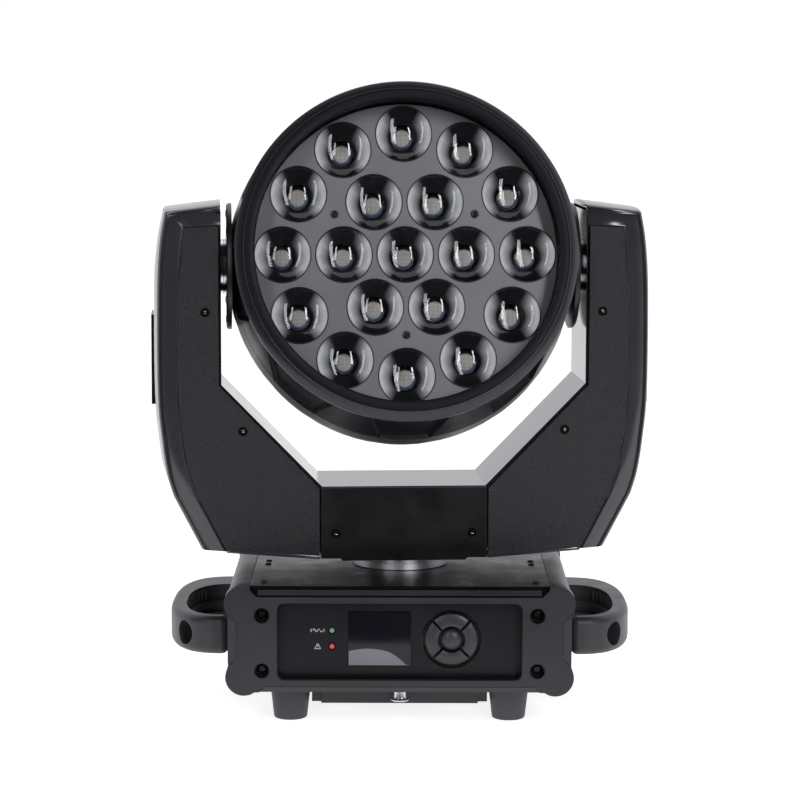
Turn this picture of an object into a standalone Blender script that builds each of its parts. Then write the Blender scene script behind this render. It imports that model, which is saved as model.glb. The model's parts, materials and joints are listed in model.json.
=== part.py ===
"""Moving head light: a base with handles, a yoke that pans on it, and a head with 19 lenses that tilts.

Metres, +Z up, the control panel faces -Y. The object rests on its feet at z = 0, and the origin is the
centre of its footprint. Every piece is modelled in the frame of the axis that carries it: the base and
the yoke with the pan axis at x = y = 0, the head with its tilt axis along X through the origin.
"""

from math import atan2, cos, hypot, pi, radians, sin, sqrt

import bmesh
import bpy
from mathutils import Matrix, Vector

# Clearances
GAP = 0.0003
RUN_GAP = 0.0006
CLEAR = 0.01

# Rest pose and axes
PAN_Y = -0.0116
REST_PAN = radians(4.0)
REST_TILT = radians(13.5)
TILT_Z = 0.348

# Base
TOP_Z = 0.1098
FLOOR_Z = 0.0288
SHEET = 0.002
DEPTH = 0.116
BODY_Y = 0.1015
SIDE_X = 0.1317
SEAM_X = 0.115
TRAY_X = 0.1040
BUMPER_R = 0.0143
UPPER_BUMPER = (0.1200, 0.0975)
LOWER_BUMPER = (0.1192, 0.0405)
BEZEL_TOP_Z = 0.1028
BEZEL_NOTCH_X = 0.1093
RECESS_X = 0.0940
RECESS_Z = (0.0382, 0.0972)
RECESS_R = 0.0050
SCREW_WELL_X = 0.1054
SCREW_WELL_Z = (0.0885, 0.0456)
SCREW_WELL_R = 0.0062
SCREW_WELL_DEPTH = 0.0060
PANEL_Y = -0.1045
COLUMN_R = 0.0375

# Control panel
DISPLAY_CENTRE = (-0.0155, 0.0687)
DISPLAY_SIZE = (0.0486, 0.0430)
LED_X = -0.0520
LED_Z = (0.0750, 0.0625)
LED_R = 0.0021
PAD_CENTRE = (0.0398, 0.0683)
PAD_R = 0.0222
ARROW_R = 0.0203
ENTER_R = 0.0080
BUTTON_SLOT = 0.0009

# Handles
HANDLE_X = 0.1323
HANDLE_Z = (0.0530, 0.0825)
HANDLE_CENTRE_Y = 0.0
HANDLE_REACH = 0.0495
HANDLE_HALF = 0.0915
LOOP_CENTRE_Y = -0.0145
LOOP_REACH = 0.0333
LOOP_HALF = 0.0655
LEDGE_REACH = 0.0265
LEDGE_HALF = 0.0580
LEDGE_TOP_Z = 0.0610
HOLE_PLACE = (0.0315, -0.0745, 0.0678)
HOLE_R = 0.0092
HOLE_LENGTH = 0.046
HOLE_ANGLE = radians(-36)

# Feet and what hangs under the base
FOOT_X = 0.085
FOOT_Y = 0.0725
FOOT_TOP_R = 0.0160
FOOT_R = 0.0130
CLAMP_X = 0.0610
CLAMP_Y = (-0.079, 0.079)
CLAMP_Z = 0.0125
CLAMP_RIM_X = 0.0683
CLAMP_RIM_Z = 0.0130
STUD_Y = -0.088

# Yoke
ARM_Y = 0.0481
FRAME_Y = 0.0440
COVER_Y = 0.0443
INNER_X = 0.1425
FRAME_WALL = 0.004
BEND_HIGH_Z = 0.2586
BEND_LOW = (0.0642, 0.1782)
SEAM = 0.0655
BRIDGE_BOTTOM_Z = 0.1198
BRIDGE_BOX_Z = (0.1225, 0.1782)
ARM_OUTLINE = [
    (0.1428, 0.3985), (0.1860, 0.3930), (0.1903, 0.3680), (0.1922, 0.3280), (0.1922, 0.2420),
    (0.1890, 0.2150), (0.1850, 0.1880), (0.1800, 0.1705), (0.1580, 0.1283), (0.0658, 0.1212),
    (0.0658, 0.1798), (0.1428, 0.2588),
]
ARM_HOLLOW = [
    (0.1400, 0.3955), (0.1832, 0.3905), (0.1873, 0.3675), (0.1892, 0.3280), (0.1892, 0.2425),
    (0.1860, 0.2155), (0.1821, 0.1889), (0.1773, 0.1717), (0.1562, 0.1312), (0.0640, 0.1242),
    (0.0640, 0.1840), (0.1400, 0.2620),
]
ARM_PANEL = [
    (0.1442, 0.3828), (0.1712, 0.3812), (0.1764, 0.3300), (0.1774, 0.2627), (0.1744, 0.2236),
    (0.1695, 0.1930), (0.1612, 0.1700), (0.1395, 0.1281), (0.0640, 0.1222), (0.0640, 0.1764),
    (0.1442, 0.2577),
]
VENT_Z = (0.2395, 0.3105)
VENT_Y = (-0.0065, 0.0340)
VENT_X = (0.1925, 0.1972)
VENT_RIBS = 9

# Pan drive
SHAFT_R = 0.030
SHAFT_BORE_R = 0.013
PAN_PULLEY_R = 0.046
PAN_BELT_Z = (0.0700, 0.0780)
PAN_MOTOR_X = -0.0700
PAN_MOTOR_HALF = 0.028
PAN_PINION_R = 0.0115
BELT = 0.0014

# Tilt drive, in the right arm
PIVOT_R = 0.0220
PIVOT_BORE_R = 0.0100
TILT_PULLEY_R = 0.030
TILT_BELT_X = (0.1585, 0.1655)
TILT_MOTOR_Z = 0.2150
TILT_MOTOR_HALF = 0.021
TILT_MOTOR_X = (0.1290, 0.1560)
TILT_PINION_R = 0.0105

# Head
RING_R = 0.1322
LIP_R = 0.1172
RING_FRONT = -0.080
SHELL_R = 0.1420
SHELL_SIDE_X = 0.1335
SIDE_PLATE_R = 0.0500
SIDE_PLATE_X = (0.1338, 0.1366)
PLATE_R = 0.1185
PLATE_FRONT = -0.0535
PLATE = 0.003
LENS_PITCH = 0.0475
LENS_R = 0.0220
LENS_HOLE_R = 0.0224
LENS_RISE = 0.0100
SCREW_CIRCLE_R = 0.0630
ZOOM_SCREW_R = 0.0030

ROUND = 16
FINE = 40


# ---------------------------------------------------------------- shape helpers
def clear_scene():
    for obj in list(bpy.data.objects):
        bpy.data.objects.remove(obj, do_unlink=True)


def obj_from(mesh, name):
    bmesh.ops.remove_doubles(mesh, verts=mesh.verts, dist=1e-7)
    bmesh.ops.recalc_face_normals(mesh, faces=mesh.faces)
    data = bpy.data.meshes.new(name)
    mesh.to_mesh(data)
    mesh.free()
    obj = bpy.data.objects.new(name, data)
    bpy.context.scene.collection.objects.link(obj)
    return obj


def on_axis(axis, a, b, along):
    """A point with a and b across the axis and `along` on it. Outlines are (y, z), (x, z) or (x, y)."""
    return {"X": (along, a, b), "Y": (a, along, b), "Z": (a, b, along)}[axis]


def prism(name, outline, low, high, axis):
    """The closed outline extruded along the axis from low to high."""
    mesh = bmesh.new()
    ends = [[mesh.verts.new(on_axis(axis, a, b, along)) for a, b in outline] for along in (low, high)]
    mesh.faces.new(ends[0])
    mesh.faces.new(ends[1])
    for i in range(len(outline)):
        j = (i + 1) % len(outline)
        mesh.faces.new((ends[0][i], ends[0][j], ends[1][j], ends[1][i]))
    return obj_from(mesh, name)


def box(name, low, high):
    outline = [(low[0], low[1]), (high[0], low[1]), (high[0], high[1]), (low[0], high[1])]
    return prism(name, outline, low[2], high[2], "Z")


def turned(name, profile, axis="Z", centre=(0, 0, 0), segments=ROUND):
    """A solid of revolution from (radius, along) points. It is a ring unless both ends lie on the axis."""
    mesh = bmesh.new()
    rings = []
    for radius, along in profile:
        count = segments if radius else 1
        angles = [2 * pi * i / segments for i in range(count)]
        rings.append([mesh.verts.new((radius * cos(t), radius * sin(t), along)) for t in angles])
    closed = bool(profile[0][0])
    for lower, upper in zip(rings, rings[1:] + rings[:1] if closed else rings[1:]):
        for i in range(segments):
            j = (i + 1) % segments
            corners = [lower[i % len(lower)], lower[j % len(lower)]]
            corners += [upper[j % len(upper)], upper[i % len(upper)]]
            mesh.faces.new(list(dict.fromkeys(corners)))
    turn = {"X": ((0, 0, 1), (1, 0, 0), (0, 1, 0)), "Y": ((0, 1, 0), (0, 0, 1), (1, 0, 0))}.get(axis)
    if turn:
        bmesh.ops.transform(mesh, matrix=Matrix(turn).to_4x4(), verts=mesh.verts)
    bmesh.ops.translate(mesh, vec=Vector(centre), verts=mesh.verts)
    return obj_from(mesh, name)


def rod(name, radius, low, high, axis, centre=(0, 0, 0), segments=ROUND):
    """A round bar along the axis. Only the centre's two coordinates across the axis count."""
    across = {"X": (centre[1], centre[2]), "Y": (centre[0], centre[2]), "Z": (centre[0], centre[1])}[axis]
    return prism(name, arc(across, radius, 0, 360, segments)[:-1], low, high, axis)


def arc(centre, radius, start, end, steps):
    """Points on a circle between two angles in degrees."""
    angles = [radians(start + (end - start) * i / steps) for i in range(steps + 1)]
    return [(centre[0] + radius * cos(t), centre[1] + radius * sin(t)) for t in angles]


def rounded_box(x, z, radius, steps=4):
    """The outline of a rectangle with round corners."""
    corners = ((x[1], z[1], 0), (x[0], z[1], 90), (x[0], z[0], 180), (x[1], z[0], 270))
    middle = ((x[0] + x[1]) / 2, (z[0] + z[1]) / 2)
    outline = []
    for cx, cz, turn in corners:
        centre = (cx - radius * (1 if cx > middle[0] else -1), cz - radius * (1 if cz > middle[1] else -1))
        outline += arc(centre, radius, turn, turn + 90, steps)
    return outline


def mirrored(outline):
    return [(-a, b) for a, b in outline]


def both_halves(right_half):
    """A whole outline from its right half, which runs from the centre line to the centre line."""
    left_half = [(-a, b) for a, b in reversed(right_half) if abs(a) > 1e-9]
    return right_half + left_half


def merged(objects):
    """One object that holds the meshes of all of them, which are removed."""
    mesh = bmesh.new()
    for obj in objects:
        mesh.from_mesh(obj.data)
        bpy.data.objects.remove(obj, do_unlink=True)
    return obj_from(mesh, "merged")


def combine(target, others, operation):
    """Cuts or joins other objects into the target, and removes them."""
    tool = merged(others)
    boolean = target.modifiers.new(operation.title(), "BOOLEAN")
    boolean.operation = operation
    boolean.use_self = len(others) > 1
    boolean.object = tool
    bpy.context.view_layer.update()
    graph = bpy.context.evaluated_depsgraph_get()
    data = bpy.data.meshes.new_from_object(target.evaluated_get(graph))
    target.modifiers.clear()
    target.data = data
    bpy.data.objects.remove(tool, do_unlink=True)
    return target


def cut(target, *cutters):
    return combine(target, cutters, "DIFFERENCE")


def join(target, *others):
    return combine(target, others, "UNION")


def tilted_rod(name, radius, length, centre, direction):
    """A rod whose middle is at the centre, along any direction."""
    obj = rod(name, radius, -length / 2, length / 2, "Z")
    turn = Vector(direction).to_track_quat("Z", "Y").to_matrix().to_4x4()
    obj.data.transform(Matrix.Translation(Vector(centre)) @ turn)
    return obj


# ---------------------------------------------------------------- placing and materials
def empty(name, parent, location, rotation):
    obj = bpy.data.objects.new(name, None)
    bpy.context.scene.collection.objects.link(obj)
    obj.parent = parent
    obj.location = location
    obj.rotation_euler = rotation
    return obj


def paint(name, colour, roughness, metallic=0.0, alpha=1.0):
    material = bpy.data.materials.new(name)
    material.use_nodes = True
    shader = material.node_tree.nodes["Principled BSDF"]
    shader.inputs["Base Color"].default_value = (*colour, 1)
    shader.inputs["Roughness"].default_value = roughness
    shader.inputs["Metallic"].default_value = metallic
    shader.inputs["Alpha"].default_value = alpha
    return material


def make_materials():
    return {
        "satin_black": paint("satin_black", (0.022, 0.022, 0.026), 0.38),
        "grain_black": paint("grain_black", (0.012, 0.012, 0.014), 0.55),
        "rubber": paint("rubber", (0.020, 0.020, 0.024), 0.7),
        "button": paint("button", (0.018, 0.018, 0.020), 0.45),
        "steel": paint("steel", (0.60, 0.60, 0.62), 0.25, 1.0),
        "aluminium": paint("aluminium", (0.55, 0.56, 0.58), 0.35, 1.0),
        "plate_grey": paint("plate_grey", (0.055, 0.055, 0.060), 0.4),
        "clear": paint("clear", (0.75, 0.77, 0.80), 0.05, alpha=0.35),
        "screen": paint("screen", (0.015, 0.015, 0.018), 0.08),
        "green": paint("green", (0.05, 0.20, 0.10), 0.3),
        "red": paint("red", (0.50, 0.04, 0.04), 0.3),
        "circuit": paint("circuit", (0.02, 0.14, 0.07), 0.5),
        "belt": paint("belt", (0.015, 0.015, 0.015), 0.6),
    }


def finish(obj, material, parent, pivot=None):
    """Gives the piece its material and parent, and puts a moving piece's origin on its own axis."""
    obj.data.materials.clear()
    obj.data.materials.append(material)
    if pivot:
        obj.data.transform(Matrix.Translation(-Vector(pivot)))
        obj.location = pivot
    obj.parent = parent
    obj.data.shade_smooth()
    obj.data.set_sharp_from_angle(angle=radians(32))


# ---------------------------------------------------------------- base
def bezel_outline():
    right = [(0, BEZEL_TOP_Z), (BEZEL_NOTCH_X, BEZEL_TOP_Z), (SEAM_X, BEZEL_TOP_Z + SEAM_X - BEZEL_NOTCH_X)]
    right += arc(UPPER_BUMPER, BUMPER_R, 110, -35, 8)
    right += [(SIDE_X, 0.0855), (SIDE_X, 0.0505)]
    right += arc(LOWER_BUMPER, BUMPER_R, 35, -110, 8)
    right += [(0.1110, FLOOR_Z), (0, FLOOR_Z)]
    return both_halves(right)


def make_bezel(name, back, front):
    """A bezel with a window for its panel and four sunk screw holes. Its front faces away from y = 0."""
    low, high = sorted((back, front))
    bezel = prism(name, bezel_outline(), low, high, "Y")
    outline = rounded_box((-RECESS_X, RECESS_X), RECESS_Z, RECESS_R)
    window = prism("window", outline, low - CLEAR, high + CLEAR, "Y")
    outwards = 1 if front > 0 else -1
    ends = sorted((front - outwards * SCREW_WELL_DEPTH, front + outwards * CLEAR))
    holes = []
    for x in (-SCREW_WELL_X, SCREW_WELL_X):
        holes += [rod("hole", SCREW_WELL_R, *ends, "Y", (x, 0, z), 16) for z in SCREW_WELL_Z]
    return cut(bezel, window, *holes)


def side_outline():
    """The cross-section of the right side extrusion, as (x, z)."""
    outer = [(SEAM_X + GAP, TOP_Z - 0.0002)] + arc((0.1200, 0.0965), 0.0133, 88, -20, 6)
    outer += [(0.1302, 0.0860), (0.1302, 0.0500)] + arc((0.1180, 0.0415), 0.0127, 20, -95, 7)
    inner = [(0.1060, FLOOR_Z), (0.1045, FLOOR_Z), (0.1045, 0.1040), (SEAM_X + GAP, 0.1040)]
    return outer + inner


def make_side(name, sign):
    outline = side_outline()
    hollow = [(0.1075, 0.0340), (0.1225, 0.0340), (0.1270, 0.0480)]
    hollow += [(0.1270, 0.0880), (0.1190, 0.1010), (0.1075, 0.1010)]
    if sign < 0:
        outline, hollow = mirrored(outline), mirrored(hollow)
    side = prism(name, outline, -BODY_Y, BODY_Y, "Y")
    return cut(side, prism("hollow", hollow, -0.12, 0.12, "Y"))


def make_chassis():
    outer = box("base_chassis", (-TRAY_X, -BODY_Y - SHEET, FLOOR_Z), (TRAY_X, BODY_Y + SHEET, 0.1060))
    inner = box("inner", (-TRAY_X - CLEAR, -BODY_Y, FLOOR_Z + SHEET), (TRAY_X + CLEAR, BODY_Y, 0.12))
    bay = box("bay", (-0.0960, -0.2, 0.0365), (0.0960, 0.2, 0.0990))
    return cut(outer, inner, bay)


def make_top_plate():
    """The top plate, folded down into a sloping lip above each bezel, with a hole for the pan column."""
    half = [(0, TOP_Z), (0.1060, TOP_Z), (0.1062, TOP_Z - 0.0016), (0.1090, TOP_Z - 0.0020)]
    half += [(0.1150, 0.1036), (0.1150, 0.1032), (0.1045, 0.1032), (0.1045, TOP_Z - SHEET), (0, TOP_Z - SHEET)]
    plate = prism("base_top_plate", both_halves(half), -SEAM_X, SEAM_X, "X")
    notch = []
    for sign in (-1, 1):
        corner = [(sign * 0.1086, 0.1025), (sign * 0.1160, 0.1099), (sign * 0.1160, 0.1025)]
        notch.append(prism("notch", corner, -0.13, 0.13, "Y"))
    return cut(plate, rod("hole", COLUMN_R + 0.001, 0.09, 0.12, "Z", segments=FINE), *notch)


def make_control_panel():
    reach_x = RECESS_X - 0.0004
    reach_z = (RECESS_Z[0] + 0.0004, RECESS_Z[1] - 0.0004)
    outline = rounded_box((-reach_x, reach_x), reach_z, RECESS_R - GAP)
    panel = prism("control_panel", outline, PANEL_Y, PANEL_Y + SHEET, "Y")
    x, z = DISPLAY_CENTRE
    half_x, half_z = DISPLAY_SIZE[0] / 2 + GAP, DISPLAY_SIZE[1] / 2 + GAP
    cutters = [box("display_hole", (x - half_x, -0.2, z - half_z), (x + half_x, 0, z + half_z))]
    cutters.append(rod("pad_hole", PAD_R, -0.2, 0, "Y", (PAD_CENTRE[0], 0, PAD_CENTRE[1]), 28))
    for led_z in LED_Z:
        cutters.append(rod("led_hole", LED_R + GAP, -0.2, 0, "Y", (LED_X, 0, led_z), 16))
    return cut(panel, *cutters)


def make_display():
    x, z = DISPLAY_CENTRE
    half_x, half_z = DISPLAY_SIZE[0] / 2, DISPLAY_SIZE[1] / 2
    return prism(
        "display_screen", rounded_box((x - half_x, x + half_x), (z - half_z, z + half_z), 0.0008, 2),
        PANEL_Y - 0.0002, PANEL_Y + 0.003, "Y",
    )


def make_status_led(name, z):
    profile = [(0, -0.0032), (LED_R, -0.0032), (LED_R, 0.0002), (LED_R * 0.7, 0.0014), (0, 0.0018)]
    led = turned(name, [(r, -along) for r, along in profile], "Y", (LED_X, PANEL_Y, z), 14)
    return led


def make_arrow_button(name, direction):
    """A quarter ring, 45 degrees either side of its direction, cut square along its two ends."""
    middle = {"right": 0, "up": 90, "left": 180, "down": 270}[direction]
    inner_r = ENTER_R + 0.0013
    trim_outer = BUTTON_SLOT / 2 / ARROW_R * 180 / pi
    trim_inner = BUTTON_SLOT / 2 / inner_r * 180 / pi
    outline = arc(PAD_CENTRE, ARROW_R, middle - 45 + trim_outer, middle + 45 - trim_outer, 8)
    outline += arc(PAD_CENTRE, inner_r, middle + 45 - trim_inner, middle - 45 + trim_inner, 6)
    return prism(name, outline, PANEL_Y - 0.0030, PANEL_Y + 0.0030, "Y")


def make_enter_button():
    profile = [(0, 0.0030), (ENTER_R, 0.0030), (ENTER_R, -0.0030), (ENTER_R * 0.72, -0.0042), (0, -0.0046)]
    return turned("button_enter", profile, "Y", (PAD_CENTRE[0], PANEL_Y, PAD_CENTRE[1]), 28)


def make_control_board():
    """A board behind the control panel, open where the buttons travel into it."""
    board = box("control_board", (-0.0920, -0.1000, 0.0400), (0.0920, -0.0984, 0.0955))
    return cut(board, rod("hole", PAD_R, -0.2, 0, "Y", (PAD_CENTRE[0], 0, PAD_CENTRE[1]), 24))


def make_connector_panel():
    panel = prism(
        "connector_panel", rounded_box((-0.0936, 0.0936), (0.0386, 0.0968), RECESS_R - GAP),
        -PANEL_Y - SHEET, -PANEL_Y, "Y",
    )
    holes = [rod("hole", 0.0122, 0, 0.2, "Y", (x, 0, 0.0675), 20) for x in (-0.062, -0.022, 0.058)]
    return cut(panel, *holes)


def make_connector(name, x, socket_r):
    """A round panel connector with its socket, facing the rear."""
    profile = [(0, 0.0890), (0.0118, 0.0890), (0.0118, -PANEL_Y + GAP), (0.0132, -PANEL_Y + GAP)]
    profile += [(0.0132, 0.1075), (socket_r, 0.1075), (socket_r, 0.0960), (0, 0.0960)]
    return turned(name, profile, "Y", (x, 0, 0.0675), 20)


def super_half(centre_y, reach, half, power, steps):
    """Half of a superellipse that bulges from the base's side, as (x, y)."""
    points = []
    for i in range(steps + 1):
        t = -pi / 2 + pi * i / steps
        x = HANDLE_X + reach * abs(cos(t)) ** (2 / power)
        y = centre_y + half * (1 if t > 0 else -1) * abs(sin(t)) ** (2 / power)
        points.append((x, y))
    return points


def make_handle(name, sign):
    """A D-shaped loop on the base's side, with a ledge round the foot of its finger gap."""
    def shape(label, outline, low, high):
        return prism(label, [(sign * x, y) for x, y in outline], low, high, "Z")

    handle = shape(name, super_half(HANDLE_CENTRE_Y, HANDLE_REACH, HANDLE_HALF, 2.8, 18), *HANDLE_Z)
    loop = super_half(LOOP_CENTRE_Y, LOOP_REACH, LOOP_HALF, 2.6, 12)
    ledge = super_half(LOOP_CENTRE_Y, LEDGE_REACH, LEDGE_HALF, 2.6, 12)
    inset = [(x + 0.0035, y) for x, y in loop]
    inset_ledge = [(x + 0.0035, y) for x, y in ledge]
    upper = shape("upper", inset, LEDGE_TOP_Z, 0.1)
    lower = shape("lower", inset_ledge, 0.04, LEDGE_TOP_Z + 0.001)
    corner = (sign * (HANDLE_X + HOLE_PLACE[0]), *HOLE_PLACE[1:])
    eye = tilted_rod("eye", HOLE_R, HOLE_LENGTH, corner, (sign * cos(HOLE_ANGLE), sin(HOLE_ANGLE), 0))
    cut(handle, upper, lower, eye)
    soften(handle, 0.0036, 2)
    return handle


def soften(obj, width, segments):
    """Rounds the long edges at the top and bottom rims of an upright extrusion."""
    mesh = bmesh.new()
    mesh.from_mesh(obj.data)
    rim = (min(v.co.z for v in mesh.verts), max(v.co.z for v in mesh.verts))
    outer = []
    for edge in mesh.edges:
        level = [min(abs(v.co.z - z) for z in rim) < 1e-6 for v in edge.verts]
        away = any(abs(v.co.x) > HANDLE_X + 0.0002 for v in edge.verts)
        sharp = edge.is_manifold and edge.calc_face_angle(0) > radians(60)
        if all(level) and away and sharp and on_outside(edge):
            outer.append(edge)
    bmesh.ops.bevel(mesh, geom=outer, offset=width, segments=segments, affect="EDGES", clamp_overlap=True)
    mesh.to_mesh(obj.data)
    mesh.free()


def on_outside(edge):
    """Whether an edge of a handle lies on its outer outline rather than on its finger gap."""
    middle = (edge.verts[0].co + edge.verts[1].co) / 2
    x = (abs(middle.x) - HANDLE_X) / HANDLE_REACH
    y = (middle.y - HANDLE_CENTRE_Y) / HANDLE_HALF
    return abs(x) ** 2.8 + abs(y) ** 2.8 > 0.93


def make_foot(name, x, y):
    profile = [(0, 0), (FOOT_R - 0.001, 0), (FOOT_R, 0.001), (FOOT_TOP_R, FLOOR_Z - GAP), (0, FLOOR_Z - GAP)]
    return turned(name, profile, "Z", (x, y, 0), 24)


def make_clamp_plate():
    """A raised plate under the base for the hanging brackets, with four sockets for their turn locks."""
    plate = box("clamp_plate", (-CLAMP_X, CLAMP_Y[0], CLAMP_Z), (CLAMP_X, CLAMP_Y[1], FLOOR_Z - GAP))
    low = (-CLAMP_RIM_X, CLAMP_Y[0] + 0.004, CLAMP_RIM_Z)
    high = (CLAMP_RIM_X, CLAMP_Y[1] - 0.004, FLOOR_Z - GAP)
    join(plate, box("rim", low, high))
    locks = []
    for x in (-0.045, 0.045):
        for y in (-0.040, 0.040):
            locks.append(rod("lock", 0.0080, CLAMP_Z - CLEAR, CLAMP_Z + 0.004, "Z", (x, y, 0), 16))
    return cut(plate, *locks)


def make_safety_stud():
    """A flanged stud that hangs from the front of the base, for the safety wire."""
    profile = [(0, 0.0165), (0.0066, 0.0165), (0.0072, 0.0175), (0.0060, 0.0195), (0.0050, 0.0205)]
    profile += [(0.0050, FLOOR_Z - GAP), (0, FLOOR_Z - GAP)]
    return turned("safety_stud", profile, "Z", (0.0004, STUD_Y, 0), 20)


def make_power_supply():
    return box("power_supply", (0.0500, -0.0850, 0.0312), (0.1000, 0.0780, 0.0655))


# ---------------------------------------------------------------- pan drive
def belt_loop(centre_a, radius_a, centre_b, radius_b, steps=20):
    """The outline of a belt pulled tight round two circles."""
    dx, dy = centre_b[0] - centre_a[0], centre_b[1] - centre_a[1]
    heading = atan2(dy, dx) * 180 / pi
    lean = atan2(sqrt(hypot(dx, dy) ** 2 - (radius_a - radius_b) ** 2), radius_a - radius_b) * 180 / pi
    big = arc(centre_a, radius_a, heading + lean, heading + 360 - lean, steps)
    return big + arc(centre_b, radius_b, heading - lean, heading + lean, steps // 2)


def make_belt(name, centre_a, radius_a, centre_b, radius_b, low, high, axis):
    inner = belt_loop(centre_a, radius_a + GAP, centre_b, radius_b + GAP)
    outer = belt_loop(centre_a, radius_a + GAP + BELT, centre_b, radius_b + GAP + BELT)
    belt = prism(name, outer, low, high, axis)
    return cut(belt, prism("inside", inner, low - CLEAR, high + CLEAR, axis))


def make_pan_shaft():
    """The hollow shaft under the yoke, its bright collar above and its belt pulley below."""
    collar_top = BRIDGE_BOX_Z[0] - GAP
    low, high = PAN_BELT_Z
    flange = PAN_PULLEY_R + 0.002
    profile = [(SHAFT_BORE_R, collar_top), (COLUMN_R, collar_top), (COLUMN_R, 0.1056), (SHAFT_R, 0.1056)]
    profile += [(SHAFT_R, high + 0.0020), (flange, high + 0.0020), (flange, high + 0.0006)]
    profile += [(PAN_PULLEY_R, high + 0.0006), (PAN_PULLEY_R, low - 0.0006), (flange, low - 0.0006)]
    profile += [(flange, low - 0.0018), (SHAFT_BORE_R, low - 0.0018)]
    return turned("pan_shaft", profile, "Z", segments=24)


def make_pan_bearing():
    """The bearing housing that hangs from the top plate and holds the pan shaft."""
    inner = SHAFT_R + 0.0004
    profile = [(inner, 0.1050), (0.0520, 0.1050), (0.0520, 0.0990)]
    profile += [(0.0420, 0.0960), (0.0420, 0.0840), (inner, 0.0840)]
    return turned("pan_bearing", profile, "Z", segments=24)


def make_pan_motor():
    half = PAN_MOTOR_HALF
    top = PAN_BELT_Z[0] - 0.0035
    outline = rounded_box((PAN_MOTOR_X - half, PAN_MOTOR_X + half), (-half, half), 0.004, 2)
    return prism("pan_motor", outline, FLOOR_Z + SHEET + GAP, top, "Z")


def make_pinion(name, radius, low, high, flange, root, axis, centre):
    """A flanged belt pulley on its motor's shaft end, which reaches down to `root`."""
    profile = [(0, root), (0.0032, root), (0.0032, low - flange), (radius + 0.0015, low - flange)]
    profile += [(radius + 0.0015, low - 0.0004), (radius, low - 0.0004), (radius, high + 0.0004)]
    profile += [(radius + 0.0015, high + 0.0004), (radius + 0.0015, high + flange), (0, high + flange)]
    return turned(name, profile, axis, centre, 20)


# ---------------------------------------------------------------- yoke
def frame_outline():
    """The U of the yoke's frame with the bridge box below it, as (x, z)."""
    top = 0.3935
    wall = FRAME_WALL
    right = [(0, BEND_LOW[1]), BEND_LOW, (INNER_X, BEND_HIGH_Z), (INNER_X, top), (INNER_X + wall, top)]
    right += [(INNER_X + wall, BEND_HIGH_Z - 0.0017), (0.0620, 0.1700)]
    right += [(0.0620, BRIDGE_BOX_Z[0]), (0, BRIDGE_BOX_Z[0])]
    return both_halves(right)


def make_yoke_frame():
    """The folded U-frame. Its bridge is a box, open to front and rear. Its arms hold the pivots' bores."""
    frame = prism("yoke_frame", frame_outline(), -FRAME_Y, FRAME_Y, "Y")
    low, high = BRIDGE_BOX_Z
    hollow = box("hollow", (-0.058, -0.1, low + FRAME_WALL), (0.058, 0.1, high - FRAME_WALL))
    bores = rod("bores", PIVOT_R + RUN_GAP, -0.2, 0.2, "X", (0, 0, TILT_Z), 32)
    wire_hole = rod("wire_hole", SHAFT_BORE_R, low - CLEAR, low + CLEAR, "Z")
    return cut(frame, hollow, bores, wire_hole)


def make_arm_shell(name, sign):
    """A C-shaped cover round the outside of an arm, with an opening for its front and rear panels."""
    def shape(label, outline, reach):
        return prism(label, [(sign * x, z) for x, z in outline], -reach, reach, "Y")

    shell = shape(name, ARM_OUTLINE, ARM_Y)
    return cut(shell, shape("hollow", ARM_HOLLOW, COVER_Y), shape("panel_opening", ARM_PANEL, 0.1))


def shrunk(outline, margin):
    """An outline moved inwards by the margin, its points mitred."""
    area = sum(a[0] * b[1] - b[0] * a[1] for a, b in zip(outline, outline[1:] + outline[:1]))
    side = 1 if area > 0 else -1
    points = []
    for i, here in enumerate(outline):
        before, after = Vector(outline[i - 1]), Vector(outline[(i + 1) % len(outline)])
        into = (Vector(here) - before).normalized()
        out = (after - Vector(here)).normalized()
        normals = [Vector((-d.y, d.x)) * side for d in (into, out)]
        mitre = (normals[0] + normals[1]).normalized()
        points.append(tuple(Vector(here) + mitre * margin / mitre.dot(normals[0])))
    return points


def make_arm_panel(name, sign, low, high):
    outline = [(sign * x, z) for x, z in shrunk(ARM_PANEL, GAP)]
    outline = [(sign * max(abs(x), SEAM + 0.0007), z) for x, z in outline]
    return prism(name, outline, low, high, "Y")


def make_bridge_panel(name, low, high):
    """The cover of the bridge, its bottom edge dropped between two notches."""
    right = [(0, BEND_LOW[1] - 0.0006), (SEAM - 0.0004, BEND_LOW[1] - 0.0006), (SEAM - 0.0004, 0.1216)]
    right += [(0.0497, 0.1216), (0.0485, BRIDGE_BOTTOM_Z), (0, BRIDGE_BOTTOM_Z)]
    return prism(name, both_halves(right), low, high, "Y")


def make_side_vent(name, sign):
    """A ribbed plate that stands proud of the arm's outer side."""
    x = sorted((sign * (VENT_X[0] + GAP), sign * VENT_X[1]))
    plate = box(name, (x[0], VENT_Y[0], VENT_Z[0]), (x[1], VENT_Y[1], VENT_Z[1]))
    pitch = (VENT_Z[1] - VENT_Z[0] - 0.008) / VENT_RIBS
    grooves = []
    for i in range(VENT_RIBS):
        z = VENT_Z[0] + 0.004 + (i + 0.5) * pitch
        ends = sorted((sign * (VENT_X[1] - 0.0025), sign * (VENT_X[1] + CLEAR)))
        low = (ends[0], VENT_Y[0] + 0.004, z - 0.0018)
        high = (ends[1], VENT_Y[1] - 0.004, z + 0.0018)
        grooves.append(box("groove", low, high))
    return cut(plate, *grooves)


def make_tilt_motor():
    half = TILT_MOTOR_HALF
    outline = rounded_box((-half, half), (TILT_MOTOR_Z - half, TILT_MOTOR_Z + half), 0.004, 2)
    return prism("tilt_motor", outline, *TILT_MOTOR_X, "X")


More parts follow.
